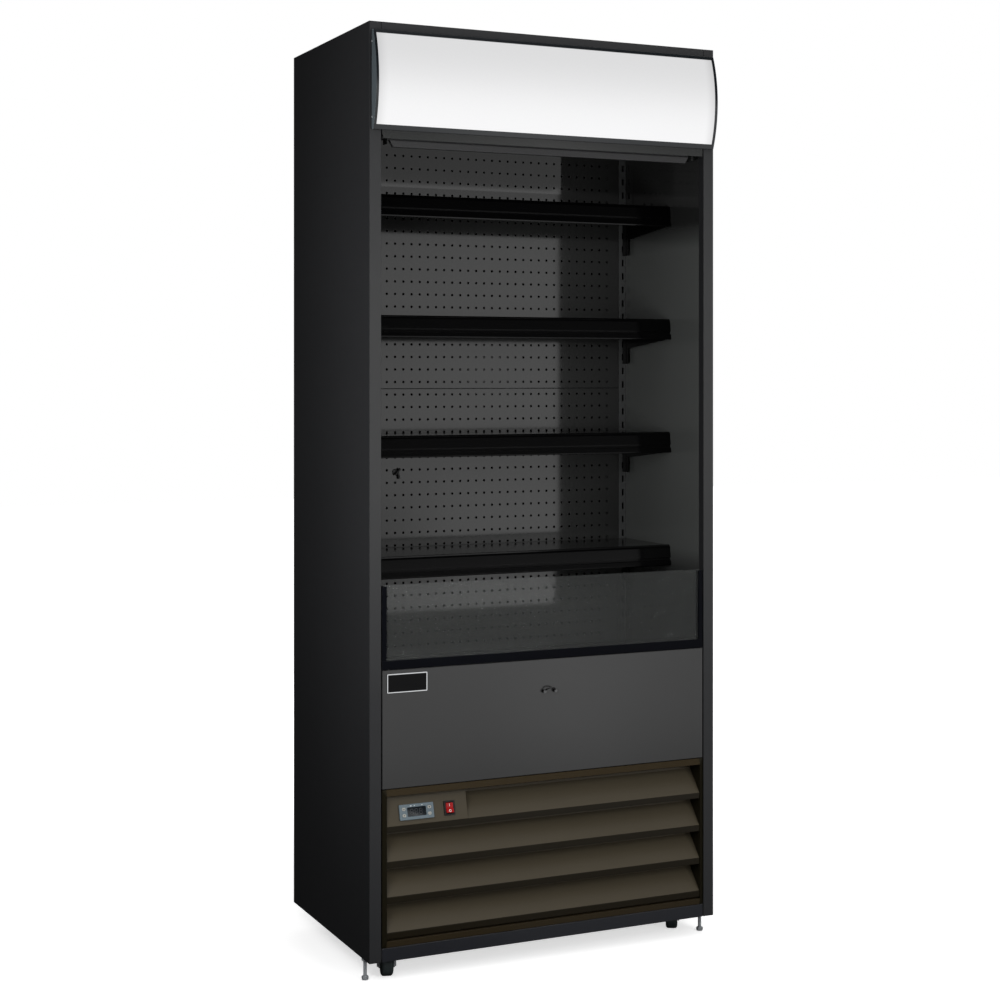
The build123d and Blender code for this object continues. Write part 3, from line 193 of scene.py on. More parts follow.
# Dust that settles on what faces up
make, given, result = shader_group("settled dust", [("Amount", FLOAT, 0.3)], [("Mask", FLOAT)])
up = make.split(make.add("ShaderNodeNewGeometry").outputs["Normal"])["Z"]
facing_up = make.remap(up, 0.55, 0.98, kind="SMOOTHSTEP")
clouds = make.remap(make.noise(make.place(), 14.0, 5.0, 0.65), 0.3, 0.75)
dust = make.times(make.times(facing_up, clouds), given["Amount"])
make.link(dust, result["Mask"])
settled_dust = make.tree

# Wiping streaks and hand marks that change only the gloss
make, given, result = shader_group(
    "wiping marks", [("Streak Direction", VECTOR, (3.0, 3.0, 14.0))], [("Mask", FLOAT)]
)
streaks = make.noise(scaled_place(make, given["Streak Direction"]), 1.6, 4.0, 0.6)
blots = make.noise(make.place(), 9.0, 3.0, 0.6)
marks = make.plus(make.times(streaks, 0.6), make.times(blots, 0.4))
make.link(make.remap(marks, 0.35, 0.65), result["Mask"])
wiping_marks = make.tree

# Fine parallel scratches of brushed or drawn metal
make, given, result = shader_group(
    "brushed grain",
    [("Stretch", VECTOR, (20.0, 2500.0, 2500.0))],
    [("Tone", FLOAT), ("Height", FLOAT)],
)
lines = make.noise(scaled_place(make, given["Stretch"]), 1.0, 3.0, 0.6)
cloudy = make.noise(make.place(), 30.0, 3.0)
mixed = make.plus(make.times(lines, 0.7), make.times(cloudy, 0.3))
make.link(mixed, result["Tone"])
make.link(lines, result["Height"])
brushed_grain = make.tree

# Crystal spangle of zinc
make, given, result = shader_group(
    "zinc spangle", [("Crystal Size", FLOAT, 0.012)], [("Tone", FLOAT), ("Height", FLOAT)]
)
crystals = make.add(
    "ShaderNodeTexVoronoi",
    {"Vector": make.place(), "Scale": make.math("DIVIDE", 1.0, given["Crystal Size"])},
    feature="F1",
)
crystal_tone = make.split(crystals.outputs["Color"])["X"]
frost = make.noise(make.place(), 220.0, 3.0, 0.6)
crystal_mix = make.plus(make.times(crystal_tone, 0.5), make.times(frost, 0.5))
make.link(crystal_mix, result["Tone"])
make.link(frost, result["Height"])
zinc_spangle = make.tree

# One inside a box on either side of the middle plane, nought outside
sharp = (0.0002, 0.0002, 0.0002)
make, given, result = shader_group(
    "inside a mirrored box",
    [
        ("Low Corner", VECTOR, (0, 0, 0)),
        ("High Corner", VECTOR, (0, 0, 0)),
        ("Softness", VECTOR, sharp),
    ],
    [("Mask", FLOAT)],
)
right_half = make.add("ShaderNodeVectorMath", {0: make.place()}, operation="ABSOLUTE").outputs[0]
spot = make.split(right_half)
low_corner = make.split(given["Low Corner"])
high_corner = make.split(given["High Corner"])
softness = make.split(given["Softness"])
inside = 1.0
for axis in "XYZ":
    past_low = make.minus(spot[axis], low_corner[axis])
    short_of_high = make.minus(high_corner[axis], spot[axis])
    depth = make.math("MINIMUM", past_low, short_of_high)
    share = make.math("ADD", make.math("DIVIDE", depth, softness[axis]), 0.5, clamp=True)
    inside = make.times(inside, share)
make.link(inside, result["Mask"])
mirrored_box = make.tree


# ----------------------------------------------------------------------------------------
# Finishes
# ----------------------------------------------------------------------------------------
def new_material(name):
    """An empty material, its node maker and its Principled BSDF."""
    material = bpy.data.materials.new(name)
    make = emptied_tree(material)
    shader = make.add("ShaderNodeBsdfPrincipled")
    make.add("ShaderNodeOutputMaterial", {"Surface": shader.outputs["BSDF"]})
    return material, make, shader


def effect(make, group, **inputs):
    """A shader group placed in a material. Underscores in the names stand for spaces."""
    values = {name.replace("_", " "): value for name, value in inputs.items()}
    node = make.tree.nodes.new("ShaderNodeGroup")
    node.node_tree = group
    for key, value in values.items():
        node.inputs[key].default_value = value
    return node.outputs


def add_bump(make, shader, strength, distance, height, **normal):
    """A bump on the material's normal, on top of a rounded normal where one is given."""
    inputs = {"Strength": strength, "Distance": distance, "Height": height, **normal}
    make.link(make.add("ShaderNodeBump", inputs).outputs["Normal"], shader.inputs["Normal"])


def tint(colour, factor):
    return tuple(min(1.0, channel * factor) for channel in colour[:3]) + (1.0,)


def powder_coat(name, colour, roughness, peel=0.12, grain=0.0016, wear=0.35, dust=0.12, variation=0.12,
                gloss=0.5, patches=()):
    """Sprayed and baked paint: peel, drift of tone, rubbed edges, wiping marks and dust, with boxed patches
    of another colour, some of them the part's own colour, others painted highlight and painted shade.
    """
    material, make, shader = new_material(name)
    grain_out = effect(make, powder_grain, Grain_Size=grain)
    edges = effect(make, rubbed_edges, Width=0.0012)
    dusty = effect(make, settled_dust, Amount=dust)["Mask"]
    marks = effect(make, wiping_marks)["Mask"]
    colour_out = make.blend(grain_out["Tone"], tint(colour, 1 - variation), tint(colour, 1 + variation))
    # Boxed patches: own colours such as the end caps, and painted highlight or painted shade on the posts,
    # header, grille and inner walls
    for corner_low, corner_high, patch_colour, *edge in patches:
        box = {"Low_Corner": corner_low, "High_Corner": corner_high, "Softness": edge[0] if edge else sharp}
        mask = effect(make, mirrored_box, **box)["Mask"]
        colour_out = make.blend(mask, colour_out, tint(patch_colour, 1))
    worn = make.times(edges["Mask"], wear)
    colour_out = make.blend(worn, colour_out, tint([channel + 0.06 for channel in colour], 1.6))
    colour_out = make.blend(dusty, colour_out, (0.32, 0.31, 0.29, 1))
    make.link(colour_out, shader.inputs["Base Color"])
    smooth = make.remap(marks, 0.0, 1.0, roughness * 0.97, roughness * 1.04)
    make.link(make.math("ADD", smooth, make.times(dusty, 0.6), clamp=True), shader.inputs["Roughness"])
    add_bump(make, shader, peel, 0.0004, grain_out["Height"], Normal=edges["Rounded Normal"])
    shader.inputs["Specular IOR Level"].default_value = gloss
    return material


def metal(name, colour, roughness, group, metallic=1.0, **inputs):
    """Bare or plated metal with a brushed grain or a spangle."""
    material, make, shader = new_material(name)
    grain_out = effect(make, group, **inputs)
    edges = effect(make, rubbed_edges, Width=0.0006)
    marks = effect(make, wiping_marks)["Mask"]
    colour_out = make.blend(grain_out["Tone"], tint(colour, 0.85), tint(colour, 1.15))
    colour_out = make.blend(make.times(edges["Mask"], 0.2), colour_out, tint(colour, 1.3))
    make.link(colour_out, shader.inputs["Base Color"])
    rough = make.remap(grain_out["Tone"], 0.2, 0.8, roughness * 0.8, roughness * 1.15)
    make.link(make.plus(rough, make.times(marks, 0.05)), shader.inputs["Roughness"])
    shader.inputs["Metallic"].default_value = metallic
    add_bump(make, shader, 0.1, 0.0002, grain_out["Height"], Normal=edges["Rounded Normal"])
    return material


def moulded(name, colour, roughness, texture=0.08, dust=0.1, variation=0.08):
    """Moulded plastic or rubber with a fine spark texture."""
    material, make, shader = new_material(name)
    place = make.place()
    spark = make.noise(place, 2200.0, 2.0)
    flow = make.noise(place, 18.0, 3.0, 0.6)
    dusty = effect(make, settled_dust, Amount=dust)["Mask"]
    edges = effect(make, rubbed_edges, Width=0.0005)
    colour_out = make.blend(flow, tint(colour, 1 - variation), tint(colour, 1 + variation))
    worn = make.times(edges["Mask"], 0.25)
    colour_out = make.blend(worn, colour_out, tint([channel + 0.03 for channel in colour], 1.4))
    colour_out = make.blend(dusty, colour_out, (0.3, 0.29, 0.27, 1))
    make.link(colour_out, shader.inputs["Base Color"])
    rough = make.remap(flow, 0.3, 0.7, roughness * 0.9, roughness * 1.1)
    make.link(make.math("ADD", rough, dusty, clamp=True), shader.inputs["Roughness"])
    add_bump(make, shader, texture, 0.0002, spark, Normal=edges["Rounded Normal"])
    return material


def clear_glass():
    """Clear glass with a thin film and a few wiping marks. Its low Alpha lets light through to the deck."""
    material, make, shader = new_material("clear float glass")
    marks = effect(make, wiping_marks, Streak_Direction=(2.0, 2.0, 9.0))["Mask"]
    film = make.noise(make.place(), 5.0, 4.0)
    make.link(make.blend(film, (0.60, 0.64, 0.62, 1), (0.66, 0.68, 0.67, 1)), shader.inputs["Base Color"])
    make.link(make.remap(marks, 0.6, 1.0, 0.0, 0.003), shader.inputs["Roughness"])
    shader.inputs["Transmission Weight"].default_value = 0.75
    shader.inputs["IOR"].default_value = 1.03
    make.link(make.remap(marks, 0.6, 1.0, 0.09, 0.105), shader.inputs["Alpha"])
    return material


def lit_diffuser():
    """Opal sheet lit from behind: a little dimmer towards its upper edge and its ends."""
    material, make, shader = new_material("lit opal sheet")
    place = make.place()
    spot = make.split(place)
    rise = make.remap(spot["Z"], window_low, window_high, 1.0, 0.0, kind="SMOOTHSTEP")
    from_middle = make.math("ABSOLUTE", spot["X"])
    end_start, end_stop = canopy_half - 0.03, canopy_half - 0.002
    ends = make.remap(from_middle, end_start, end_stop, 1.0, 0.82, kind="SMOOTHSTEP")
    opal = make.noise(place, 400.0, 2.0)
    glow = make.times(make.remap(rise, 0.0, 1.0, 0.69, 0.875), ends)
    glow = make.plus(glow, make.remap(opal, 0.3, 0.7, -0.006, 0.006))
    warm = make.add("ShaderNodeCombineColor", {0: glow, 1: glow, 2: make.times(glow, 1.008)})
    make.link(warm.outputs[0], shader.inputs["Emission Color"])
    shader.inputs["Emission Strength"].default_value = 1.0
    make.link(make.blend(opal, (0.02, 0.02, 0.02, 1), (0.03, 0.03, 0.03, 1)), shader.inputs["Base Color"])
    shader.inputs["Roughness"].default_value = 0.35
    return material


def woven(name, colour):
    """Coated glass-fibre cloth: two crossing sets of fine threads."""
    material, make, shader = new_material(name)
    spot = make.split(make.place())
    thread_turns = 2 * math.pi / 0.0012
    warp = make.math("SINE", make.times(spot["X"], thread_turns))
    weft = make.math("SINE", make.times(spot["Z"], thread_turns))
    weave = make.times(warp, weft)
    slub = make.noise(make.place(), 90.0, 4.0, 0.6)
    colour_out = make.blend(make.remap(weave, -1, 1), tint(colour, 0.85), tint(colour, 1.12))
    colour_out = make.blend(make.times(slub, 0.3), colour_out, tint(colour, 0.8))
    make.link(colour_out, shader.inputs["Base Color"])
    make.link(make.remap(slub, 0.3, 0.7, 0.62, 0.75), shader.inputs["Roughness"])
    shader.inputs["Sheen Weight"].default_value = 0.15
    add_bump(make, shader, 0.3, 0.0002, weave)
    return material


def plate_finish():
    """The bare name plate: a chromed rim round a glossy black field."""
    material, make, shader = new_material("chrome rim and black field")
    plate_low, plate_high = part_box("name_plate")
    rim = 0.0022
    corner_low = (-plate_high.x + rim, 0.0, plate_low.z + rim)
    corner_high = (-plate_low.x - rim, -plate_low.y - 0.0002, plate_high.z - rim)
    field = effect(make, mirrored_box, Low_Corner=corner_low, High_Corner=corner_high)["Mask"]
    brush = effect(make, brushed_grain, Stretch=(60.0, 900.0, 900.0))
    rim_colour = make.blend(brush["Tone"], (0.62, 0.63, 0.65, 1), (0.78, 0.79, 0.8, 1))
    field_colour = make.blend(brush["Tone"], (0.001, 0.001, 0.0012, 1), (0.002, 0.002, 0.0023, 1))
    make.link(make.blend(field, rim_colour, field_colour), shader.inputs["Base Color"])
    make.link(make.minus(1.0, field), shader.inputs["Metallic"])
    make.link(make.remap(field, 0.0, 1.0, 0.12, 0.2), shader.inputs["Roughness"])
    add_bump(make, shader, 0.03, 0.0001, brush["Height"])
    shader.inputs["Specular IOR Level"].default_value = 0.1
    return material


def translucent_red():
    """Red plastic of the lit rocker, its red varying a little over it."""
    material, make, shader = new_material("translucent red plastic")
    flow = make.noise(make.place(), 160.0, 3.0)
    red = make.blend(flow, (0.22, 0.007, 0.008, 1), (0.30, 0.012, 0.012, 1))
    red_glow = make.blend(flow, (0.16, 0.002, 0.002, 1), (0.22, 0.004, 0.003, 1))
    make.link(red, shader.inputs["Base Color"])
    make.link(red_glow, shader.inputs["Emission Color"])
    shader.inputs["Emission Strength"].default_value = 0.25
    make.link(make.remap(flow, 0.3, 0.7, 0.12, 0.2), shader.inputs["Roughness"])
    return material


def foam_finish():
    """Cut rigid foam with its open cells."""
    material, make, shader = new_material("rigid foam")
    cells = make.add("ShaderNodeTexVoronoi", {"Vector": make.place(), "Scale": 900.0}).outputs["Distance"]
    yellow = make.noise(make.place(), 12.0, 3.0)
    make.link(make.blend(yellow, (0.72, 0.63, 0.4, 1), (0.82, 0.75, 0.53, 1)), shader.inputs["Base Color"])
    make.link(make.remap(cells, 0.0, 1.0, 0.85, 0.95), shader.inputs["Roughness"])
    add_bump(make, shader, 0.5, 0.0005, cells)
    return material


# Painted highlight: the front posts of the side panels are lighter about mid height, fading up and down
post_corners = (0.3825, -front - 0.0003, 0.80), (0.4097, -front + 0.0015, 1.66)
post_painted_highlight = (*post_corners, (0.0360, 0.0365, 0.0370), (0.0002, 0.0002, 0.45))
side_paint = powder_coat(
    "near-black textured powder coat", (0.0225, 0.0230, 0.0245), 0.5, peel=0.2, grain=0.0013, gloss=0.36,
    patches=(post_painted_highlight,),
)
front_paint = powder_coat("satin dark grey powder coat", (0.0200, 0.0202, 0.0203), 0.2, peel=0.01, wear=0.25)
kick_paint = powder_coat("bluish dark powder coat", (0.0170, 0.0180, 0.0220), 0.3, peel=0.05, dust=0.3)
# Painted highlight: the header is lighter across its middle, fading towards its ends
header_painted_highlight = ((-0.15, -1, -1), (0.15, 1, 3), (0.0260, 0.0268, 0.0262), (0.3, 0.1, 0.1))
header_paint = powder_coat(
    "satin header powder coat", (0.0120, 0.0130, 0.0125), 0.24, peel=0.05, patches=(header_painted_highlight,)
)
# Painted shade on the grille: the top and bottom frame bars each get a darker tone of their own for how light
# falls on them, the side bars are darker still, and the blade lips are dark as if shaded
grille_painted_shade = (
    ((-1, -1, 0.386), (1, 1, 0.41), (0.026, 0.0175, 0.0065)),
    ((-1, -1, 0.07), (1, 1, 0.0905), (0.034, 0.0250, 0.0130)),
    ((0.37285, -1, 0), (1, 1, 3), (0.009, 0.0075, 0.0035)),
    ((-1, -front + 0.001, 0.0915), (0.37285, 1, 0.3243), (0.009, 0.0065, 0.0024)),
)
grille_paint = powder_coat(
    "bronze powder coat", (0.0590, 0.0490, 0.0325), 0.42, grain=0.0011, wear=0.0, dust=0.01, gloss=0.25,
    patches=grille_painted_shade,
)
# Painted light: the inner side walls are lighter between 0.83 m and 1.57 m, so the top bay's walls stay
# darker as painted shade
walls_painted_light = ((0.3842, -1, 0.83), (1, 1, 1.57), (0.086, 0.090, 0.087), (0.0002, 0.0002, 0.06))
# Painted shade: everything in the duct behind the back sheets is nearly black, so the holes read dark
duct_painted_shade = ((-1, panel_y + 0.003, 0.6), (0.3652, panel_y + 0.1, 1.82), (0.0005, 0.0005, 0.0005))
# The uprights' faces are lighter than the liner
upright_faces = ((0.3652, 0.09, 0.80), (0.3844, 1, 1.8), (0.060, 0.062, 0.062))
inner_patches = (walls_painted_light, upright_faces, duct_painted_shade)
inner_paint = powder_coat(
    "glossy dark coil coat", (0.0200, 0.0205, 0.0200), 0.09, peel=0.012, wear=0.1, dust=0.05,
    patches=inner_patches,
)
shelf_paint = powder_coat(
    "glossy black powder coat", (0.0008, 0.0008, 0.0009), 0.12, peel=0.04, wear=0.1, dust=0.01, gloss=0.3
)
frame_paint = powder_coat(
    "matt blue-black profile", (0.0012, 0.0015, 0.0030), 0.5, peel=0.1, dust=0.01, gloss=0.08
)
cap_faces = ((canopy_half - 0.0004, -1, 0), (1, 1, 3), (0.090, 0.108, 0.119))
trim_paint = powder_coat(
    "steel-blue satin trim", (0.0075, 0.0095, 0.0115), 0.16, peel=0.03, wear=0.3, patches=(cap_faces,)
)
compressor_paint = powder_coat(
    "gloss black compressor paint", (0.006, 0.006, 0.006), 0.18, peel=0.25, grain=0.003
)
galvanised = metal("galvanised sheet", (0.52, 0.54, 0.56), 0.38, zinc_spangle, metallic=0.85)
zinc = metal("bright zinc plate", (0.42, 0.44, 0.46), 0.38, zinc_spangle, metallic=0.35, Crystal_Size=0.003)
catch_steel = metal(
    "drawn dull steel", (0.12, 0.12, 0.122), 0.3, brushed_grain, Stretch=(60.0, 1500.0, 1500.0)
)
bar_aluminium = metal("anodised grey bar", (0.035, 0.035, 0.036), 0.4, brushed_grain, metallic=0.25)
fin_aluminium = metal(
    "bare fin aluminium", (0.72, 0.73, 0.74), 0.32, brushed_grain, Stretch=(900.0, 900.0, 30.0)
)
copper = metal("drawn copper", (0.75, 0.36, 0.22), 0.28, brushed_grain, Stretch=(200.0, 200.0, 200.0))
black_plastic = moulded("black moulded plastic", (0.012, 0.012, 0.012), 0.42)
silver_plastic = moulded("blue-grey moulded plastic", (0.115, 0.150, 0.172), 0.22, texture=0.03)
key_plastic = moulded("pale key plastic", (0.34, 0.34, 0.31), 0.25, texture=0.03)
wheel_rubber = moulded("grey wheel rubber", (0.030, 0.038, 0.039), 0.6, texture=0.25, dust=0.2)
white_tray = powder_coat("white tray enamel", (0.78, 0.78, 0.78), 0.35, wear=0.0, variation=0.03)
glass = clear_glass()
opal = lit_diffuser()
cloth = woven("coated grey cloth", (0.12, 0.12, 0.125))
badge_finish = plate_finish()
red_plastic = translucent_red()
foam = foam_finish()

finish_of_slot = {
    "side_paint": side_paint,
    "front_paint": front_paint,
    "kick_paint": kick_paint,
    "header_paint": header_paint,
    "grille_paint": grille_paint,
    "inner_paint": inner_paint,
    "shelf_paint": shelf_paint,
    "frame_black": frame_paint,
    "clear_glass": glass,
    "badge": badge_finish,
    "catch_steel": catch_steel,
    "foam": foam,
    "galvanised": galvanised,
    "black_plastic": black_plastic,
    "controller_plastic": silver_plastic,
    "key_plastic": key_plastic,
    "red_plastic": red_plastic,
    "trim_black": trim_paint,
    "white_tray": white_tray,
    "opal": opal,
    "curtain_cloth": cloth,
    "bar_aluminium": bar_aluminium,
    "compressor_black": compressor_paint,
    "fin_aluminium": fin_aluminium,
    "copper": copper,
    "zinc": zinc,
    "wheel_grey": wheel_rubber,
}
for subpart in frame["record"]["subparts"]:
    mesh = nodes[subpart["node"]].data
    mesh.materials.clear()
    mesh.materials.append(finish_of_slot.get(subpart["material_slot"], black_plastic))


# ----------------------------------------------------------------------------------------
# Shapes that repeat, grown by Geometry Nodes
# ----------------------------------------------------------------------------------------
def geometry_tree(name, inputs):
    """A Geometry Nodes tree with named inputs: its maker, its inputs and the socket of its result."""
    tree = bpy.data.node_groups.new(name, "GeometryNodeTree")
    tree.interface.new_socket(name="Geometry", in_out="INPUT", socket_type="NodeSocketGeometry")
    for label, kind, value in inputs:
        socket = tree.interface.new_socket(name=label, in_out="INPUT", socket_type=kind)
        if value is not None:
            socket.default_value = value
    tree.interface.new_socket(name="Material", in_out="INPUT", socket_type="NodeSocketMaterial")
    tree.interface.new_socket(name="Geometry", in_out="OUTPUT", socket_type="NodeSocketGeometry")
    make = NodeMaker(tree)
    given = make.add("NodeGroupInput").outputs
    return make, given, make.add("NodeGroupOutput").inputs["Geometry"]


def end_tree(make, given, geometry, result):
    """Realize Instances and Set Material, the last steps of each tree."""
    plain = make.add("GeometryNodeRealizeInstances", {"Geometry": geometry}).outputs[0]
    dressed = make.add("GeometryNodeSetMaterial", {"Geometry": plain, "Material": given["Material"]})
    make.link(dressed.outputs[0], result)


def grow(name, tree, values, points=()):
    """The plain mesh that a tree makes from named values, starting from a few points."""
    start = bpy.data.meshes.new(name)
    start.from_pydata([tuple(point) for point in points], [], [])
    piece = bpy.data.objects.new(name, start)
    bpy.context.scene.collection.objects.link(piece)
    modifier = piece.modifiers.new("shape", "NODES")
    modifier.node_group = tree
    for item in tree.interface.items_tree:
        if item.in_out == "INPUT" and item.name in values:
            modifier[item.identifier] = values[item.name]
    grown = piece.evaluated_get(bpy.context.evaluated_depsgraph_get())
    mesh = bpy.data.meshes.new_from_object(grown)
    piece.modifiers.remove(modifier)
    piece.data = mesh
    return piece


INTEGER = "NodeSocketInt"
make, given, result = geometry_tree(
    "holed sheet",
    [
        ("Width", FLOAT, 0.7), ("Height", FLOAT, 0.6), ("Thickness", FLOAT, 0.001),
        ("Columns", INTEGER, 34), ("Rows", INTEGER, 21),
        ("Column Pitch", FLOAT, 0.02), ("Row Pitch", FLOAT, 0.03), ("Row Shift", FLOAT, 0.0),
        ("Hole Radius", FLOAT, 0.00225), ("Hole Sides", INTEGER, 10),
        ("Turn", VECTOR, (0, 0, 0)), ("Centre", VECTOR, (0, 0, 0)),
    ],
)
outline = make.add(
    "GeometryNodeCurvePrimitiveQuadrilateral", {"Width": given["Width"], "Height": given["Height"]}
)
grid_width = make.times(make.minus(given["Columns"], 1), given["Column Pitch"])
grid_height = make.times(make.minus(given["Rows"], 1), given["Row Pitch"])
grid = make.add(
    "GeometryNodeMeshGrid",
    {
        "Size X": grid_width, "Size Y": grid_height,
        "Vertices X": given["Columns"], "Vertices Y": given["Rows"],
    },
)
shift = make.add("ShaderNodeCombineXYZ", {"Y": given["Row Shift"]}).outputs[0]
moved = make.add("GeometryNodeTransform", {"Geometry": grid.outputs["Mesh"], "Translation": shift})
hole = make.add(
    "GeometryNodeCurvePrimitiveCircle", {"Resolution": given["Hole Sides"], "Radius": given["Hole Radius"]}
).outputs["Curve"]
holes = make.add("GeometryNodeInstanceOnPoints", {"Points": moved.outputs[0], "Instance": hole})
real_holes = make.add("GeometryNodeRealizeInstances", {"Geometry": holes.outputs[0]})
outlines = make.add("GeometryNodeJoinGeometry")
for curve in (outline.outputs["Curve"], real_holes.outputs[0]):
    make.link(curve, outlines.inputs[0])
filled = make.add("GeometryNodeFillCurve", {"Curve": outlines.outputs[0]}).outputs[0]
thick = make.add(
    "GeometryNodeExtrudeMesh", {"Mesh": filled, "Offset Scale": given["Thickness"], "Individual": False}
)
under = make.add("GeometryNodeFlipFaces", {"Mesh": filled}).outputs[0]
both_faces = make.add("GeometryNodeJoinGeometry")
for part in (thick.outputs["Mesh"], under):
    make.link(part, both_faces.inputs[0])
closed = make.add("GeometryNodeMergeByDistance", {0: both_faces.outputs[0], "Distance": 1e-6}).outputs[0]
turned = make.add(
    "GeometryNodeTransform", {"Geometry": closed, "Rotation": given["Turn"], "Translation": given["Centre"]}
)
end_tree(make, given, turned.outputs[0], result)
holed_sheet = make.tree

make, given, result = geometry_tree(
    "cross-recess screws",
    [
        ("Head Radius", FLOAT, 0.003), ("Head Height", FLOAT, 0.0015), ("Recess", FLOAT, 0.003),
        ("Turn", VECTOR, (0, 0, 0)), ("Seed", INTEGER, 3),
    ],
)
head = make.add(
    "GeometryNodeMeshCone",
    {
        "Vertices": 24, "Radius Bottom": given["Head Radius"],
        "Radius Top": make.times(given["Head Radius"], 0.72), "Depth": given["Head Height"],
    },
)
head_mesh = head.outputs["Mesh"]
for long_way in ("X", "Y"):
    sizes = {"X": make.times(given["Recess"], 0.24), "Y": make.times(given["Recess"], 0.24)}
    sizes[long_way] = given["Recess"]
    sizes["Z"] = given["Head Height"]
    size = make.add("ShaderNodeCombineXYZ", sizes).outputs[0]
    cutter = make.add("GeometryNodeMeshCube", {"Size": size}).outputs["Mesh"]
    lift = make.add("ShaderNodeCombineXYZ", {"Z": given["Head Height"]}).outputs[0]
    raised = make.add("GeometryNodeTransform", {"Geometry": cutter, "Translation": lift}).outputs[0]
    cut = make.add("GeometryNodeMeshBoolean", operation="DIFFERENCE")
    make.link(head_mesh, cut.inputs[0])
    make.link(raised, cut.inputs[1])
    head_mesh = cut.outputs["Mesh"]
spin = make.add("FunctionNodeRandomValue", {"Seed": given["Seed"]}, data_type="FLOAT")
spin.inputs[3].default_value = math.pi
spin_turn = make.add("ShaderNodeCombineXYZ", {"Z": spin.outputs[1]}).outputs[0]
placed = make.add(
    "GeometryNodeInstanceOnPoints",
    {"Points": given["Geometry"], "Instance": head_mesh, "Rotation": given["Turn"]},
)
spun = make.add("GeometryNodeRotateInstances", {"Instances": placed.outputs[0], "Rotation": spin_turn})
end_tree(make, given, spun.outputs[0], result)
cross_screws = make.tree


# ----------------------------------------------------------------------------------------
# Mesh code for the other pieces
# ----------------------------------------------------------------------------------------
def mesh_piece(name, vertices, faces, material, smooth_angle=None):
    """A mesh object at the origin with one material."""
    mesh = bpy.data.meshes.new(name)
    mesh.from_pydata([tuple(vertex) for vertex in vertices], [], faces)
    mesh.materials.append(material)
    mesh.validate()
    if smooth_angle is not None:
        mesh.shade_smooth()
        mesh.set_sharp_from_angle(angle=math.radians(smooth_angle))
    piece = bpy.data.objects.new(name, mesh)
    bpy.context.scene.collection.objects.link(piece)
    return piece


def surface_of_rings(rings):
    """Vertices and faces of a closed skin through equal rings, with both ends capped."""
    sides = len(rings[0])
    vertices = [point for ring in rings for point in ring]
    faces = [
        (row * sides + side, row * sides + (side + 1) % sides,
         (row + 1) * sides + (side + 1) % sides, (row + 1) * sides + side)
        for row in range(len(rings) - 1)
        for side in range(sides)
    ]
    faces.append(tuple(reversed(range(sides))))
    faces.append(tuple(range((len(rings) - 1) * sides, len(rings) * sides)))
    return vertices, faces


def lathe_rings(profile, sides, matrix=Matrix.Identity(4), phase=0.0):
    """Rings of a turned shape: the profile is (radius, height) along +Z before the matrix is applied."""
    return [
        [
            matrix @ Vector((radius * math.cos(angle), radius * math.sin(angle), height))
            for angle in (phase + 2 * math.pi * side / sides for side in range(sides))
        ]
        for radius, height in profile
    ]


def joined(shapes):
    """Vertices and faces of several shapes in one list."""
    vertices, faces = [], []
    for shape_vertices, shape_faces in shapes:
        offset = len(vertices)
        vertices += shape_vertices
        faces += [tuple(index + offset for index in face) for face in shape_faces]
    return vertices, faces


def finish_piece(piece, body, replaced=()):
    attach(piece, body)
    if replaced:
        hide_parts(*replaced)
    return piece


# Perforated back sheets
hole_columns = 34
hole_column_pitch = 0.02017
hole_row_pitch = 0.028586
first_hole_row = 0.6379
hole_radius = 0.0027
back_half = 0.3649
back_sheet = 0.001
seam_z = 1.223
seam_gap = 0.0012
back_sheet_heights = (
    (deck_level + 0.0003, seam_z - seam_gap / 2),
    (seam_z + seam_gap / 2, ceiling_level - 0.0003),
)
for name, (low, high), first_row, rows in (
    ("lower_back_sheet", back_sheet_heights[0], 0, 21),
    ("upper_back_sheet", back_sheet_heights[1], 21, 20),
):
    middle_row = first_hole_row + (first_row + (rows - 1) / 2) * hole_row_pitch
    values = {
        "Width": 2 * back_half,
        "Height": high - low,
        "Thickness": back_sheet,
        "Columns": hole_columns,
        "Rows": rows,
        "Column Pitch": hole_column_pitch,
        "Row Pitch": hole_row_pitch,
        "Row Shift": middle_row - (low + high) / 2,
        "Hole Radius": hole_radius,
        "Hole Sides": 10,
        "Turn": (math.pi / 2, 0.0, 0.0),
        "Centre": (0.0, panel_y + back_sheet, (low + high) / 2),
        "Material": inner_paint,
    }
    sheet_piece = grow(name, holed_sheet, values)
    finish_piece(sheet_piece, "cabinet", ["back_panels"])

# Side flanges of the back sheets
flange_parts = []
for side in (-1, 1):
    near, far = sorted((side * back_half, side * (back_half - back_sheet)))
    flange_front, flange_back = panel_y + 0.0012, panel_y + 0.012
    corners = [(near, flange_front), (far, flange_front), (far, flange_back), (near, flange_back)]
    for low, high in back_sheet_heights:
        flange_parts.append(surface_of_rings([[Vector((x, y, z)) for x, y in corners] for z in (low, high)]))
flanges = mesh_piece("back_sheet_flanges", *joined(flange_parts), inner_paint)
finish_piece(flanges, "cabinet", ["back_panels"])

# Screws of the end caps and of the rear covers
cap_screw_z = (canopy_low + 0.025, canopy_high - 0.025)
rear_screws = [(x, back - 0.0010, z) for x in (-0.37, 0, 0.37) for z in (0.077, 0.654, 0.696, 1.9045)]
left_screws, right_screws = (
    [(side * (canopy_half + 0.0006), front - 0.005, z) for z in cap_screw_z] for side in (-1, 1)
)
for name, points, turn, radius, height in (
    ("left_cap_screws", left_screws, (0, -math.pi / 2, 0), 0.0022, 0.0015),
    ("right_cap_screws", right_screws, (0, math.pi / 2, 0), 0.0022, 0.0015),
    ("rear_screws", rear_screws, (-math.pi / 2, 0, 0), 0.0040, 0.0019),
):
    values = {
        "Head Radius": radius, "Head Height": height, "Recess": radius * 1.15,
        "Turn": turn, "Seed": 5, "Material": zinc,
    }
    screws = grow(name, cross_screws, values, points)
    finish_piece(screws, "cabinet", ["fasteners"])


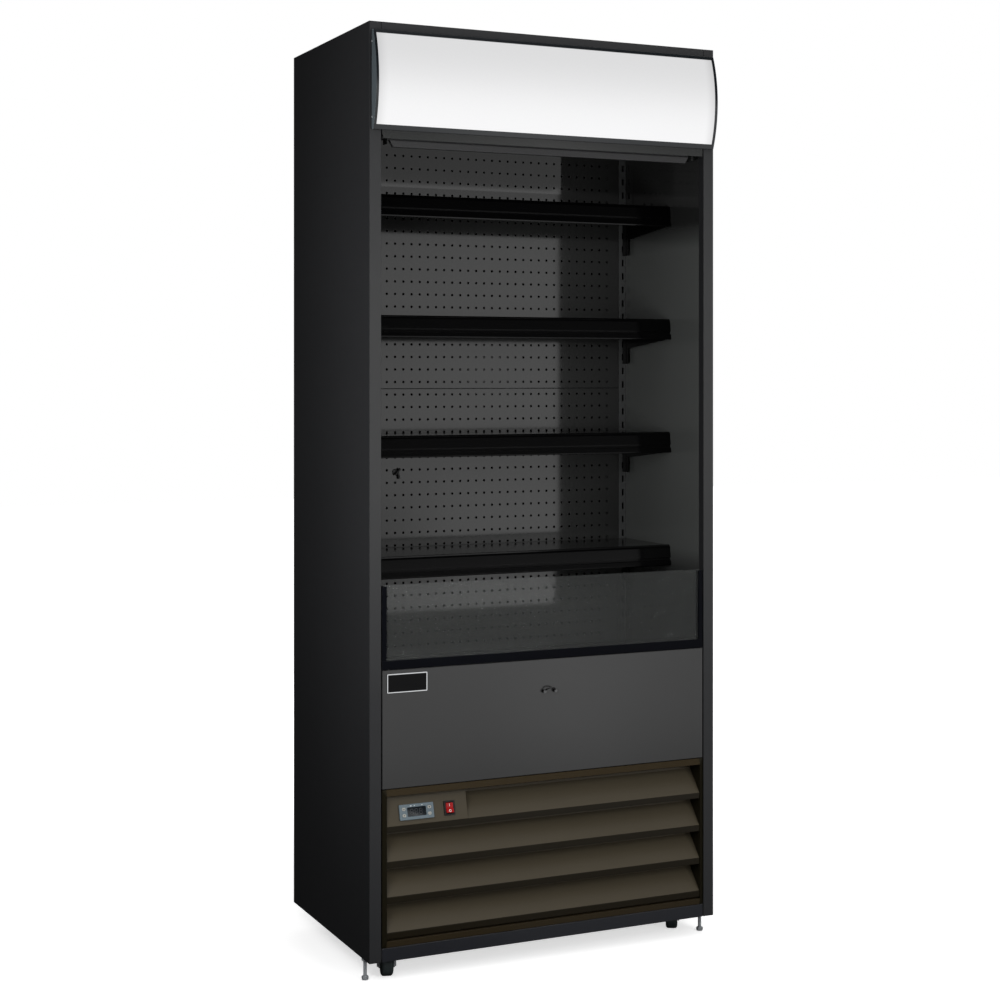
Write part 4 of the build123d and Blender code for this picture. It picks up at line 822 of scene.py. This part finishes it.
# Levelling bolts and their nuts
bolt_radius = 0.00395
thread_pitch = 0.00125
thread_depth = 0.0007
across_flats = 0.013


def hexagon(low, height, across, matrix):
    """A hexagonal nut or head with its corners turned off."""
    corner = across / math.sqrt(3)
    turn_off = corner - across / 2
    rounded_edge = 0.35 * turn_off
    profile = [
        (corner - turn_off, low), (corner, low + rounded_edge * 1.6),
        (corner, low + height - rounded_edge * 1.6), (corner - turn_off, low + height),
    ]
    return surface_of_rings(lathe_rings(profile, 6, matrix, math.pi / 6))


def threaded_rod(low, high, matrix):
    """A rod with a helical thread and chamfered ends."""
    sides = 20
    rows = int((high - low) / thread_pitch * 6)
    rings = []
    for row in range(rows + 1):
        height = low + (high - low) * row / rows
        end_share = min(1.0, 0.55 + 0.45 * min(height - low, high - height) / thread_pitch)
        ring = []
        for side in range(sides):
            phase = (height / thread_pitch + side / sides) % 1.0
            radius = (bolt_radius - thread_depth * abs(2 * phase - 1)) * end_share
            angle = -2 * math.pi * side / sides
            ring.append(matrix @ Vector((radius * math.cos(angle), -radius * math.sin(angle), height)))
        rings.append(ring)
    return surface_of_rings(rings)


nut_parts = []
for side, body in ((-1, "leveller_left"), (1, "leveller_right")):
    stand = Matrix.Translation((side * leveller_x, leveller_y, 0))
    foot_profile = [(0.0052, 0.001), (0.0066, 0.0014), (0.0070, 0.0022), (0.0069, 0.0028), (0.0060, 0.0031)]
    shapes = [
        surface_of_rings(lathe_rings(foot_profile, 32, stand)),
        hexagon(0.003, 0.006, across_flats, stand),
        threaded_rod(0.0088, casing_base + 0.038, stand),
    ]
    bolt = mesh_piece(f"threaded_{body}", *joined(shapes), zinc, 35)
    finish_piece(bolt, body, [f"levelling_bolt_{body.split('_')[1]}"])
    for low in (casing_base - 0.0066, casing_base + 0.0013):
        nut_parts.append(hexagon(low, 0.0065, across_flats, stand))
nuts = mesh_piece("leveller_nuts", *joined(nut_parts), zinc, 35)
finish_piece(nuts, "cabinet", ["fasteners"])

# Night curtain: the wound roll, and the cloth between the roll and the pull bar
roll_y = front + 0.051
roll_z = 1.778
roll_radius = 0.0244
tube_radius = 0.0178
cloth_thickness = 0.0006
cloth_half = 0.35
cloth_y = front + 0.026
cloth_low = 1.7417
roll_sides = 72
roll_matrix = Matrix.Translation((0, roll_y, roll_z)) @ Matrix.Rotation(math.pi / 2, 4, "Y")
layers = 9
end_profile = []
for layer in range(layers):
    radius = tube_radius + (roll_radius - tube_radius) * layer / layers
    end_profile += [(radius, 0.0), (radius + 0.0005, 0.0004), (radius + 0.0006, 0.0)]
end_profile.append((roll_radius, 0.0))
roll_profile = [(radius, -cloth_half - rise) for radius, rise in end_profile]
roll_profile += [(roll_radius, -cloth_half + 0.1 * step) for step in range(1, 7)]
roll_profile += [(radius, cloth_half + rise) for radius, rise in reversed(end_profile)]
core_half = 0.36
core_profile = [
    (0.0160, -core_half), (0.0175, -core_half + 0.0012), (0.0176, core_half - 0.0012), (0.0160, core_half),
]
pin_profile = [(0.0032, -0.3652), (0.0038, -0.3646), (0.0038, 0.3646), (0.0032, 0.3652)]
for name, profile, sides, material in (
    ("curtain_roll_cloth", roll_profile, roll_sides, cloth),
    ("curtain_roll_tube", core_profile, 40, bar_aluminium),
    ("curtain_roll_pin", pin_profile, 20, zinc),
):
    roll = mesh_piece(name, *surface_of_rings(lathe_rings(profile, sides, roll_matrix)), material, 40)
    finish_piece(roll, "curtain_roll", ["curtain_roller"])

cloth_rows = 44
cloth_columns = 28
cloth_rings = []
for row in range(cloth_rows + 1):
    z = roll_z + (cloth_low - roll_z) * row / cloth_rows
    xs = [cloth_half * (2 * column / cloth_columns - 1) for column in range(cloth_columns + 1)]
    front_side = [Vector((x, cloth_y - cloth_thickness / 2, z)) for x in xs]
    rear_side = [Vector((x, cloth_y + cloth_thickness / 2, z)) for x in reversed(xs)]
    cloth_rings.append(rear_side + front_side)
curtain = mesh_piece("night_curtain", *surface_of_rings(cloth_rings), cloth)
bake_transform(curtain)
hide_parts("curtain_fabric")


# ----------------------------------------------------------------------------------------
# Controller and switch
# ----------------------------------------------------------------------------------------
def plate_matrix(x, proud):
    """Placement on the control plate: local X to the right, Y up the plate, Z out of it."""
    outward = Vector((0, -math.cos(plate_tilt), math.sin(plate_tilt)))
    upward = Vector((0, math.sin(plate_tilt), math.cos(plate_tilt)))
    foot = Vector((x, *plate_foot)) + outward * proud
    matrix = Matrix.Identity(4)
    for column, axis in enumerate((Vector((1, 0, 0)), upward, outward, foot)):
        matrix.col[column][:3] = axis
    return matrix


def rounded_outline(width, height, radius, steps=5):
    """Corner points of a rectangle with rounded corners, anticlockwise."""
    points = []
    for quarter, (x, y) in enumerate(((1, 1), (-1, 1), (-1, -1), (1, -1))):
        for step in range(steps + 1):
            angle = math.pi / 2 * (quarter + step / steps)
            points.append(
                (x * (width / 2 - radius) + radius * math.cos(angle),
                 y * (height / 2 - radius) + radius * math.sin(angle))
            )
    return points


def raised_plate(outline, layers, matrix):
    """A plate from an outline: each layer is (inset share, height), the last one its crown."""
    rings = [
        [matrix @ Vector((x * share, y * share, height)) for x, y in outline] for share, height in layers
    ]
    return surface_of_rings(rings)


def dark_window_finish():
    """Smoked acrylic over the display, with its unlit segments just showing."""
    material, make, shader = new_material("smoked display window")
    haze = make.noise(make.place(), 700.0, 2.0)
    smoke = make.blend(haze, (0.006, 0.008, 0.010, 1), (0.012, 0.016, 0.020, 1))
    make.link(smoke, shader.inputs["Base Color"])
    make.link(make.remap(haze, 0.3, 0.7, 0.04, 0.09), shader.inputs["Roughness"])
    return material


window_glass = dark_window_finish()
segment_plastic = moulded("unlit segment grey", (0.05, 0.052, 0.055), 0.3)
lens_white = moulded("pale indicator lens", (0.75, 0.78, 0.8), 0.2)
mark_white = moulded("white marking ink", (0.75, 0.72, 0.7), 0.35)
glyph_grey = moulded("dark marking ink", (0.03, 0.035, 0.04), 0.4)

window_plate = raised_plate(
    rounded_outline(0.0416, 0.0186, 0.0015), [(1, 0.00325), (1, 0.00375), (0.985, 0.0039)],
    plate_matrix(controller_x, 0.0),
)
display = mesh_piece("display_window", *window_plate, window_glass, 30)
finish_piece(display, "cabinet")

# Three unlit digits under the window, each of seven bars
bar_long = 0.0048
bar_thin = 0.0009
digit_height = 0.011
digit_parts = []
for digit_x in (-0.011, -0.001, 0.009):
    half = digit_height / 2
    bars = [(0, y, True) for y in (-half, 0, half)]
    bars += [(side * (bar_long / 2 + 0.0006), y, False) for side in (-1, 1) for y in (-half / 2, half / 2)]
    for x, y, level in bars:
        size = (bar_long, bar_thin) if level else (bar_thin, half - 0.0009)
        matrix = plate_matrix(controller_x, 0.00391) @ Matrix.Translation((digit_x + x, y, 0))
        digit_parts.append(raised_plate(rounded_outline(*size, 0.0004, 2), [(1, 0), (0.9, 0.00004)], matrix))
digits = mesh_piece("display_segments", *joined(digit_parts), segment_plastic)
finish_piece(digits, "cabinet")

# Indicator lenses above the window
lens_parts = []
for x, size in ((-0.0125, 0.0032), (-0.0045, 0.0022), (0.0125, 0.0022)):
    matrix = plate_matrix(controller_x, 0.00405) @ Matrix.Translation((x, 0.0121, 0))
    lens_layers = [(1, -0.0003), (1, 0.0003), (0.7, 0.0006)]
    lens_parts.append(raised_plate(rounded_outline(size, 0.0016, 0.0006), lens_layers, matrix))
lenses = mesh_piece("indicator_lenses", *joined(lens_parts), lens_white, 30)
finish_piece(lenses, "cabinet")

# Raised marks on the keys: an arrow up, an arrow down, a ring and a bar
key_x = 0.0285
key_y = 0.0065
key_top = 0.005
arrow = [(0.0017, -0.001), (0, 0.0014), (-0.0017, -0.001)]
marks_on_keys = [
    (-key_x, key_y, arrow),
    (-key_x, -key_y, [(x, -y) for x, y in reversed(arrow)]),
    (key_x, key_y, rounded_outline(0.003, 0.003, 0.00149, 6)),
    (key_x, -key_y, rounded_outline(0.0036, 0.001, 0.0004, 2)),
]
for number, (x, y, outline_points) in enumerate(marks_on_keys, start=1):
    matrix = plate_matrix(controller_x + x, key_top + 0.00006) @ Matrix.Translation((0, y, 0))
    mark = raised_plate(outline_points, [(1, -0.0001), (1, 0.0001), (0.85, 0.0002)], matrix)
    glyph = mesh_piece(f"key_mark_{number}", *mark, glyph_grey)
    finish_piece(glyph, f"button_{number}")

# On and off marks of the rocker: a bar on the pressed half, a ring on the raised half
rocker_depth = 0.005
rocker_tilt = math.radians(16)
pivot = plate_matrix(switch_x, -0.0017)
upper_face = pivot @ Matrix.Translation((0, 0.0058, rocker_depth + 0.00005))
lower_face = (
    pivot
    @ Matrix.Translation((0, 0, rocker_depth))
    @ Matrix.Rotation(-rocker_tilt, 4, "X")
    @ Matrix.Translation((0, -0.0062, 0.00005))
)
bar_layers = [(1, -0.0001), (1, 0.0001), (0.9, 0.00015)]
bar_mark = raised_plate(rounded_outline(0.0011, 0.0052, 0.0004, 2), bar_layers, upper_face)
ring_sides = 28
ring_section = [
    (0.0026, -0.0001), (0.0026, 0.0001), (0.0025, 0.00015),
    (0.0017, 0.00015), (0.0016, 0.0001), (0.0016, -0.0001),
]
ring_vertices = [
    lower_face @ Vector((radius * math.cos(angle), radius * math.sin(angle) * 1.1, height))
    for angle in (2 * math.pi * side / ring_sides for side in range(ring_sides))
    for radius, height in ring_section
]
count = len(ring_section)
ring_faces = [
    (side * count + step, ((side + 1) % ring_sides) * count + step,
     ((side + 1) % ring_sides) * count + (step + 1) % count, side * count + (step + 1) % count)
    for side in range(ring_sides)
    for step in range(count)
]
rocker_marks = mesh_piece("rocker_marks", *joined([bar_mark, (ring_vertices, ring_faces)]), mark_white, 30)
finish_piece(rocker_marks, "rocker")

# ----------------------------------------------------------------------------------------
# Floor, world, lamps and camera
# ----------------------------------------------------------------------------------------
floor_material = bpy.data.materials.new("pale studio floor")
make = emptied_tree(floor_material)
grain = make.noise(make.place(), 40.0, 3.0)
floor_colour = make.blend(grain, (0.86, 0.86, 0.86, 1), (0.89, 0.89, 0.89, 1))
matt = make.add("ShaderNodeBsdfDiffuse", {"Color": floor_colour})
spot = make.split(make.place())
away = make.math("SQRT", make.plus(make.math("POWER", spot["X"], 2.0), make.math("POWER", spot["Y"], 2.0)))
lift_strength = make.remap(away, 0.6, 1.8, 0.62, 1.0, kind="SMOOTHSTEP")
lift = make.add("ShaderNodeEmission", {"Color": (1, 1, 1, 1), "Strength": lift_strength})
lifted = make.add("ShaderNodeAddShader", {0: matt.outputs[0], 1: lift.outputs[0]})
bounce = make.add("ShaderNodeBsdfDiffuse", {"Color": (0.12, 0.12, 0.12, 1)})
# What mirrors show of the floor: it brightens with the distance in front of the fridge
ahead_of_front = make.math("MAXIMUM", make.times(spot["Y"], -1.0), 0.0)
far_glow = make.times(make.times(ahead_of_front, ahead_of_front), 0.158)
glow = make.math("MINIMUM", make.plus(far_glow, 0.09), 0.95)
heading = make.math("ARCTAN2", spot["X"], make.times(spot["Y"], -1.0))
off_core = make.math("ABSOLUTE", make.minus(heading, math.radians(26)))
core = make.remap(off_core, math.radians(2), math.radians(6.5), 0.5, 0.0, kind="SMOOTHSTEP")
core = make.times(core, make.remap(ahead_of_front, 1.0, 3.0, kind="SMOOTHSTEP"))
off_front = make.math("ABSOLUTE", make.minus(heading, math.radians(25)))
to_front = make.remap(off_front, math.radians(27), math.radians(36), 1.0, 0.05, kind="SMOOTHSTEP")
glow = make.times(make.plus(glow, core), to_front)
mirrored = make.add("ShaderNodeEmission", {"Color": (1, 1, 1, 1), "Strength": glow})
path = make.add("ShaderNodeLightPath").outputs
seen = make.add("ShaderNodeMixShader", {0: path["Is Camera Ray"], 1: bounce.outputs[0], 2: lifted.outputs[0]})
bounced = make.math("MAXIMUM", path["Is Glossy Ray"], path["Is Transmission Ray"])
whole = make.add("ShaderNodeMixShader", {0: bounced, 1: seen.outputs[0], 2: mirrored.outputs[0]})
make.add("ShaderNodeOutputMaterial", {"Surface": whole.outputs[0]})
floor_half = 14.0
floor_corners = [(x * floor_half, y * floor_half, 0) for x, y in ((-1, -1), (1, -1), (1, 1), (-1, 1))]
floor = mesh_piece("studio_floor", floor_corners, [(0, 1, 2, 3)], floor_material)

world = bpy.data.worlds.new("white studio")
bpy.context.scene.world = world
make = emptied_tree(world)
world.cycles.sampling_method = "NONE"
direction = make.add("ShaderNodeTexCoord").outputs["Generated"]
heading = make.split(direction)
azimuth = make.math("ARCTAN2", heading["X"], make.times(heading["Y"], -1.0))
elevation = make.math("ARCSINE", heading["Z"])


def soft_card(azimuth_middle, azimuth_half, elevation_middle, elevation_half, softness, strength):
    """Light of a soft card of the studio, in degrees from straight ahead and from the horizon."""
    share = strength
    for angle, middle, half in (
        (azimuth, azimuth_middle, azimuth_half),
        (elevation, elevation_middle, elevation_half),
    ):
        off = make.math("ABSOLUTE", make.minus(angle, math.radians(middle)))
        edge = make.remap(
            off, math.radians(half - softness), math.radians(half + softness), 1.0, 0.0, kind="SMOOTHSTEP"
        )
        share = make.times(share, edge)
    return share


studio = 0.015
for card in (
    (25, 30, -16, 24, 3, 0.88),
    (25, 6, -3, 8.5, 2.5, 0.52),
    (25, 30, 14, 5, 3, 0.09),
    (-31, 5, -2, 11, 3, 1.2),
    (20, 100, 75, 24, 8, 0.95),
):
    studio = make.plus(studio, soft_card(*card))
frontness = make.math("MAXIMUM", make.times(heading["Y"], -1.0), 0.0)
upness = make.math("MAXIMUM", heading["Z"], 0.0)
ambient = make.plus(make.times(frontness, 0.36), make.times(upness, 0.22))
ambient = make.plus(ambient, 0.015)
path = make.add("ShaderNodeLightPath").outputs
lit, shown_in_gloss = (
    make.add("ShaderNodeCombineColor", {0: level, 1: level, 2: level}).outputs[0]
    for level in (ambient, studio)
)
strength = make.blend(path["Is Glossy Ray"], lit, shown_in_gloss)
plain = make.math("MAXIMUM", path["Is Camera Ray"], path["Is Transmission Ray"])
strength = make.blend(plain, strength, (1, 1, 1, 1))
surround = make.add("ShaderNodeBackground", {"Color": strength, "Strength": 1.0})
make.add("ShaderNodeOutputWorld", {"Surface": surround.outputs[0]})


def area_lamp(name, location, target, size, energy, mirrored=False):
    """A soft lamp that shows only by its light or, where mirrored is set, only in what mirrors it."""
    lamp = bpy.data.lights.new(name, "AREA")
    lamp.shape = "RECTANGLE"
    lamp.size, lamp.size_y = size
    lamp.energy = energy
    holder = bpy.data.objects.new(name, lamp)
    bpy.context.scene.collection.objects.link(holder)
    holder.location = location
    holder.rotation_euler = (Vector(target) - Vector(location)).to_track_quat("-Z", "Y").to_euler()
    holder.visible_camera = False
    holder.visible_glossy = mirrored
    holder.visible_diffuse = not mirrored
    holder.visible_transmission = not mirrored


area_lamp("overhead_softbox", (0.8, -1.6, 3.6), (0, 0, 0.9), (2.4, 1.8), 18)
area_lamp("front_softbox", (0.9, -3.4, 1.5), (0, 0, 1.0), (1.8, 1.8), 52)
area_lamp("left_strip", (-0.85, -0.27, 1.3), (-0.41, -0.27, 1.3), (0.2, 1.5), 2.2)
area_lamp("left_softbox", (-1.25, -1.2, 1.15), (-0.41, 0, 1.1), (0.6, 0.8), 12)
area_lamp("rear_softbox", (0.8, 3.2, 1.8), (0, 0, 1.0), (1.8, 1.8), 40)
# A strip in front of the back sheets, above the top shelf, that only their gloss shows
strip_x, strip_y, strip_z = -0.0648, 0.09, 1.74275
area_lamp(
    "top_bay_strip", (strip_x, strip_y, strip_z), (strip_x, 1, strip_z), (0.5876, 0.1135), 0.15, mirrored=True
)

camera_data = bpy.data.cameras.new("view")
camera_data.lens = 65.8144
camera_data.sensor_width = 36
camera_data.shift_y = -0.1245
camera_data.clip_end = 60
camera = bpy.data.objects.new("view", camera_data)
bpy.context.scene.collection.objects.link(camera)
camera.location = (-1.736875, -3.742569, 1.25295)
camera.rotation_euler = (math.radians(90), 0, -0.432623)
bpy.context.scene.camera = camera

bpy.context.scene.view_settings.view_transform = "Standard"
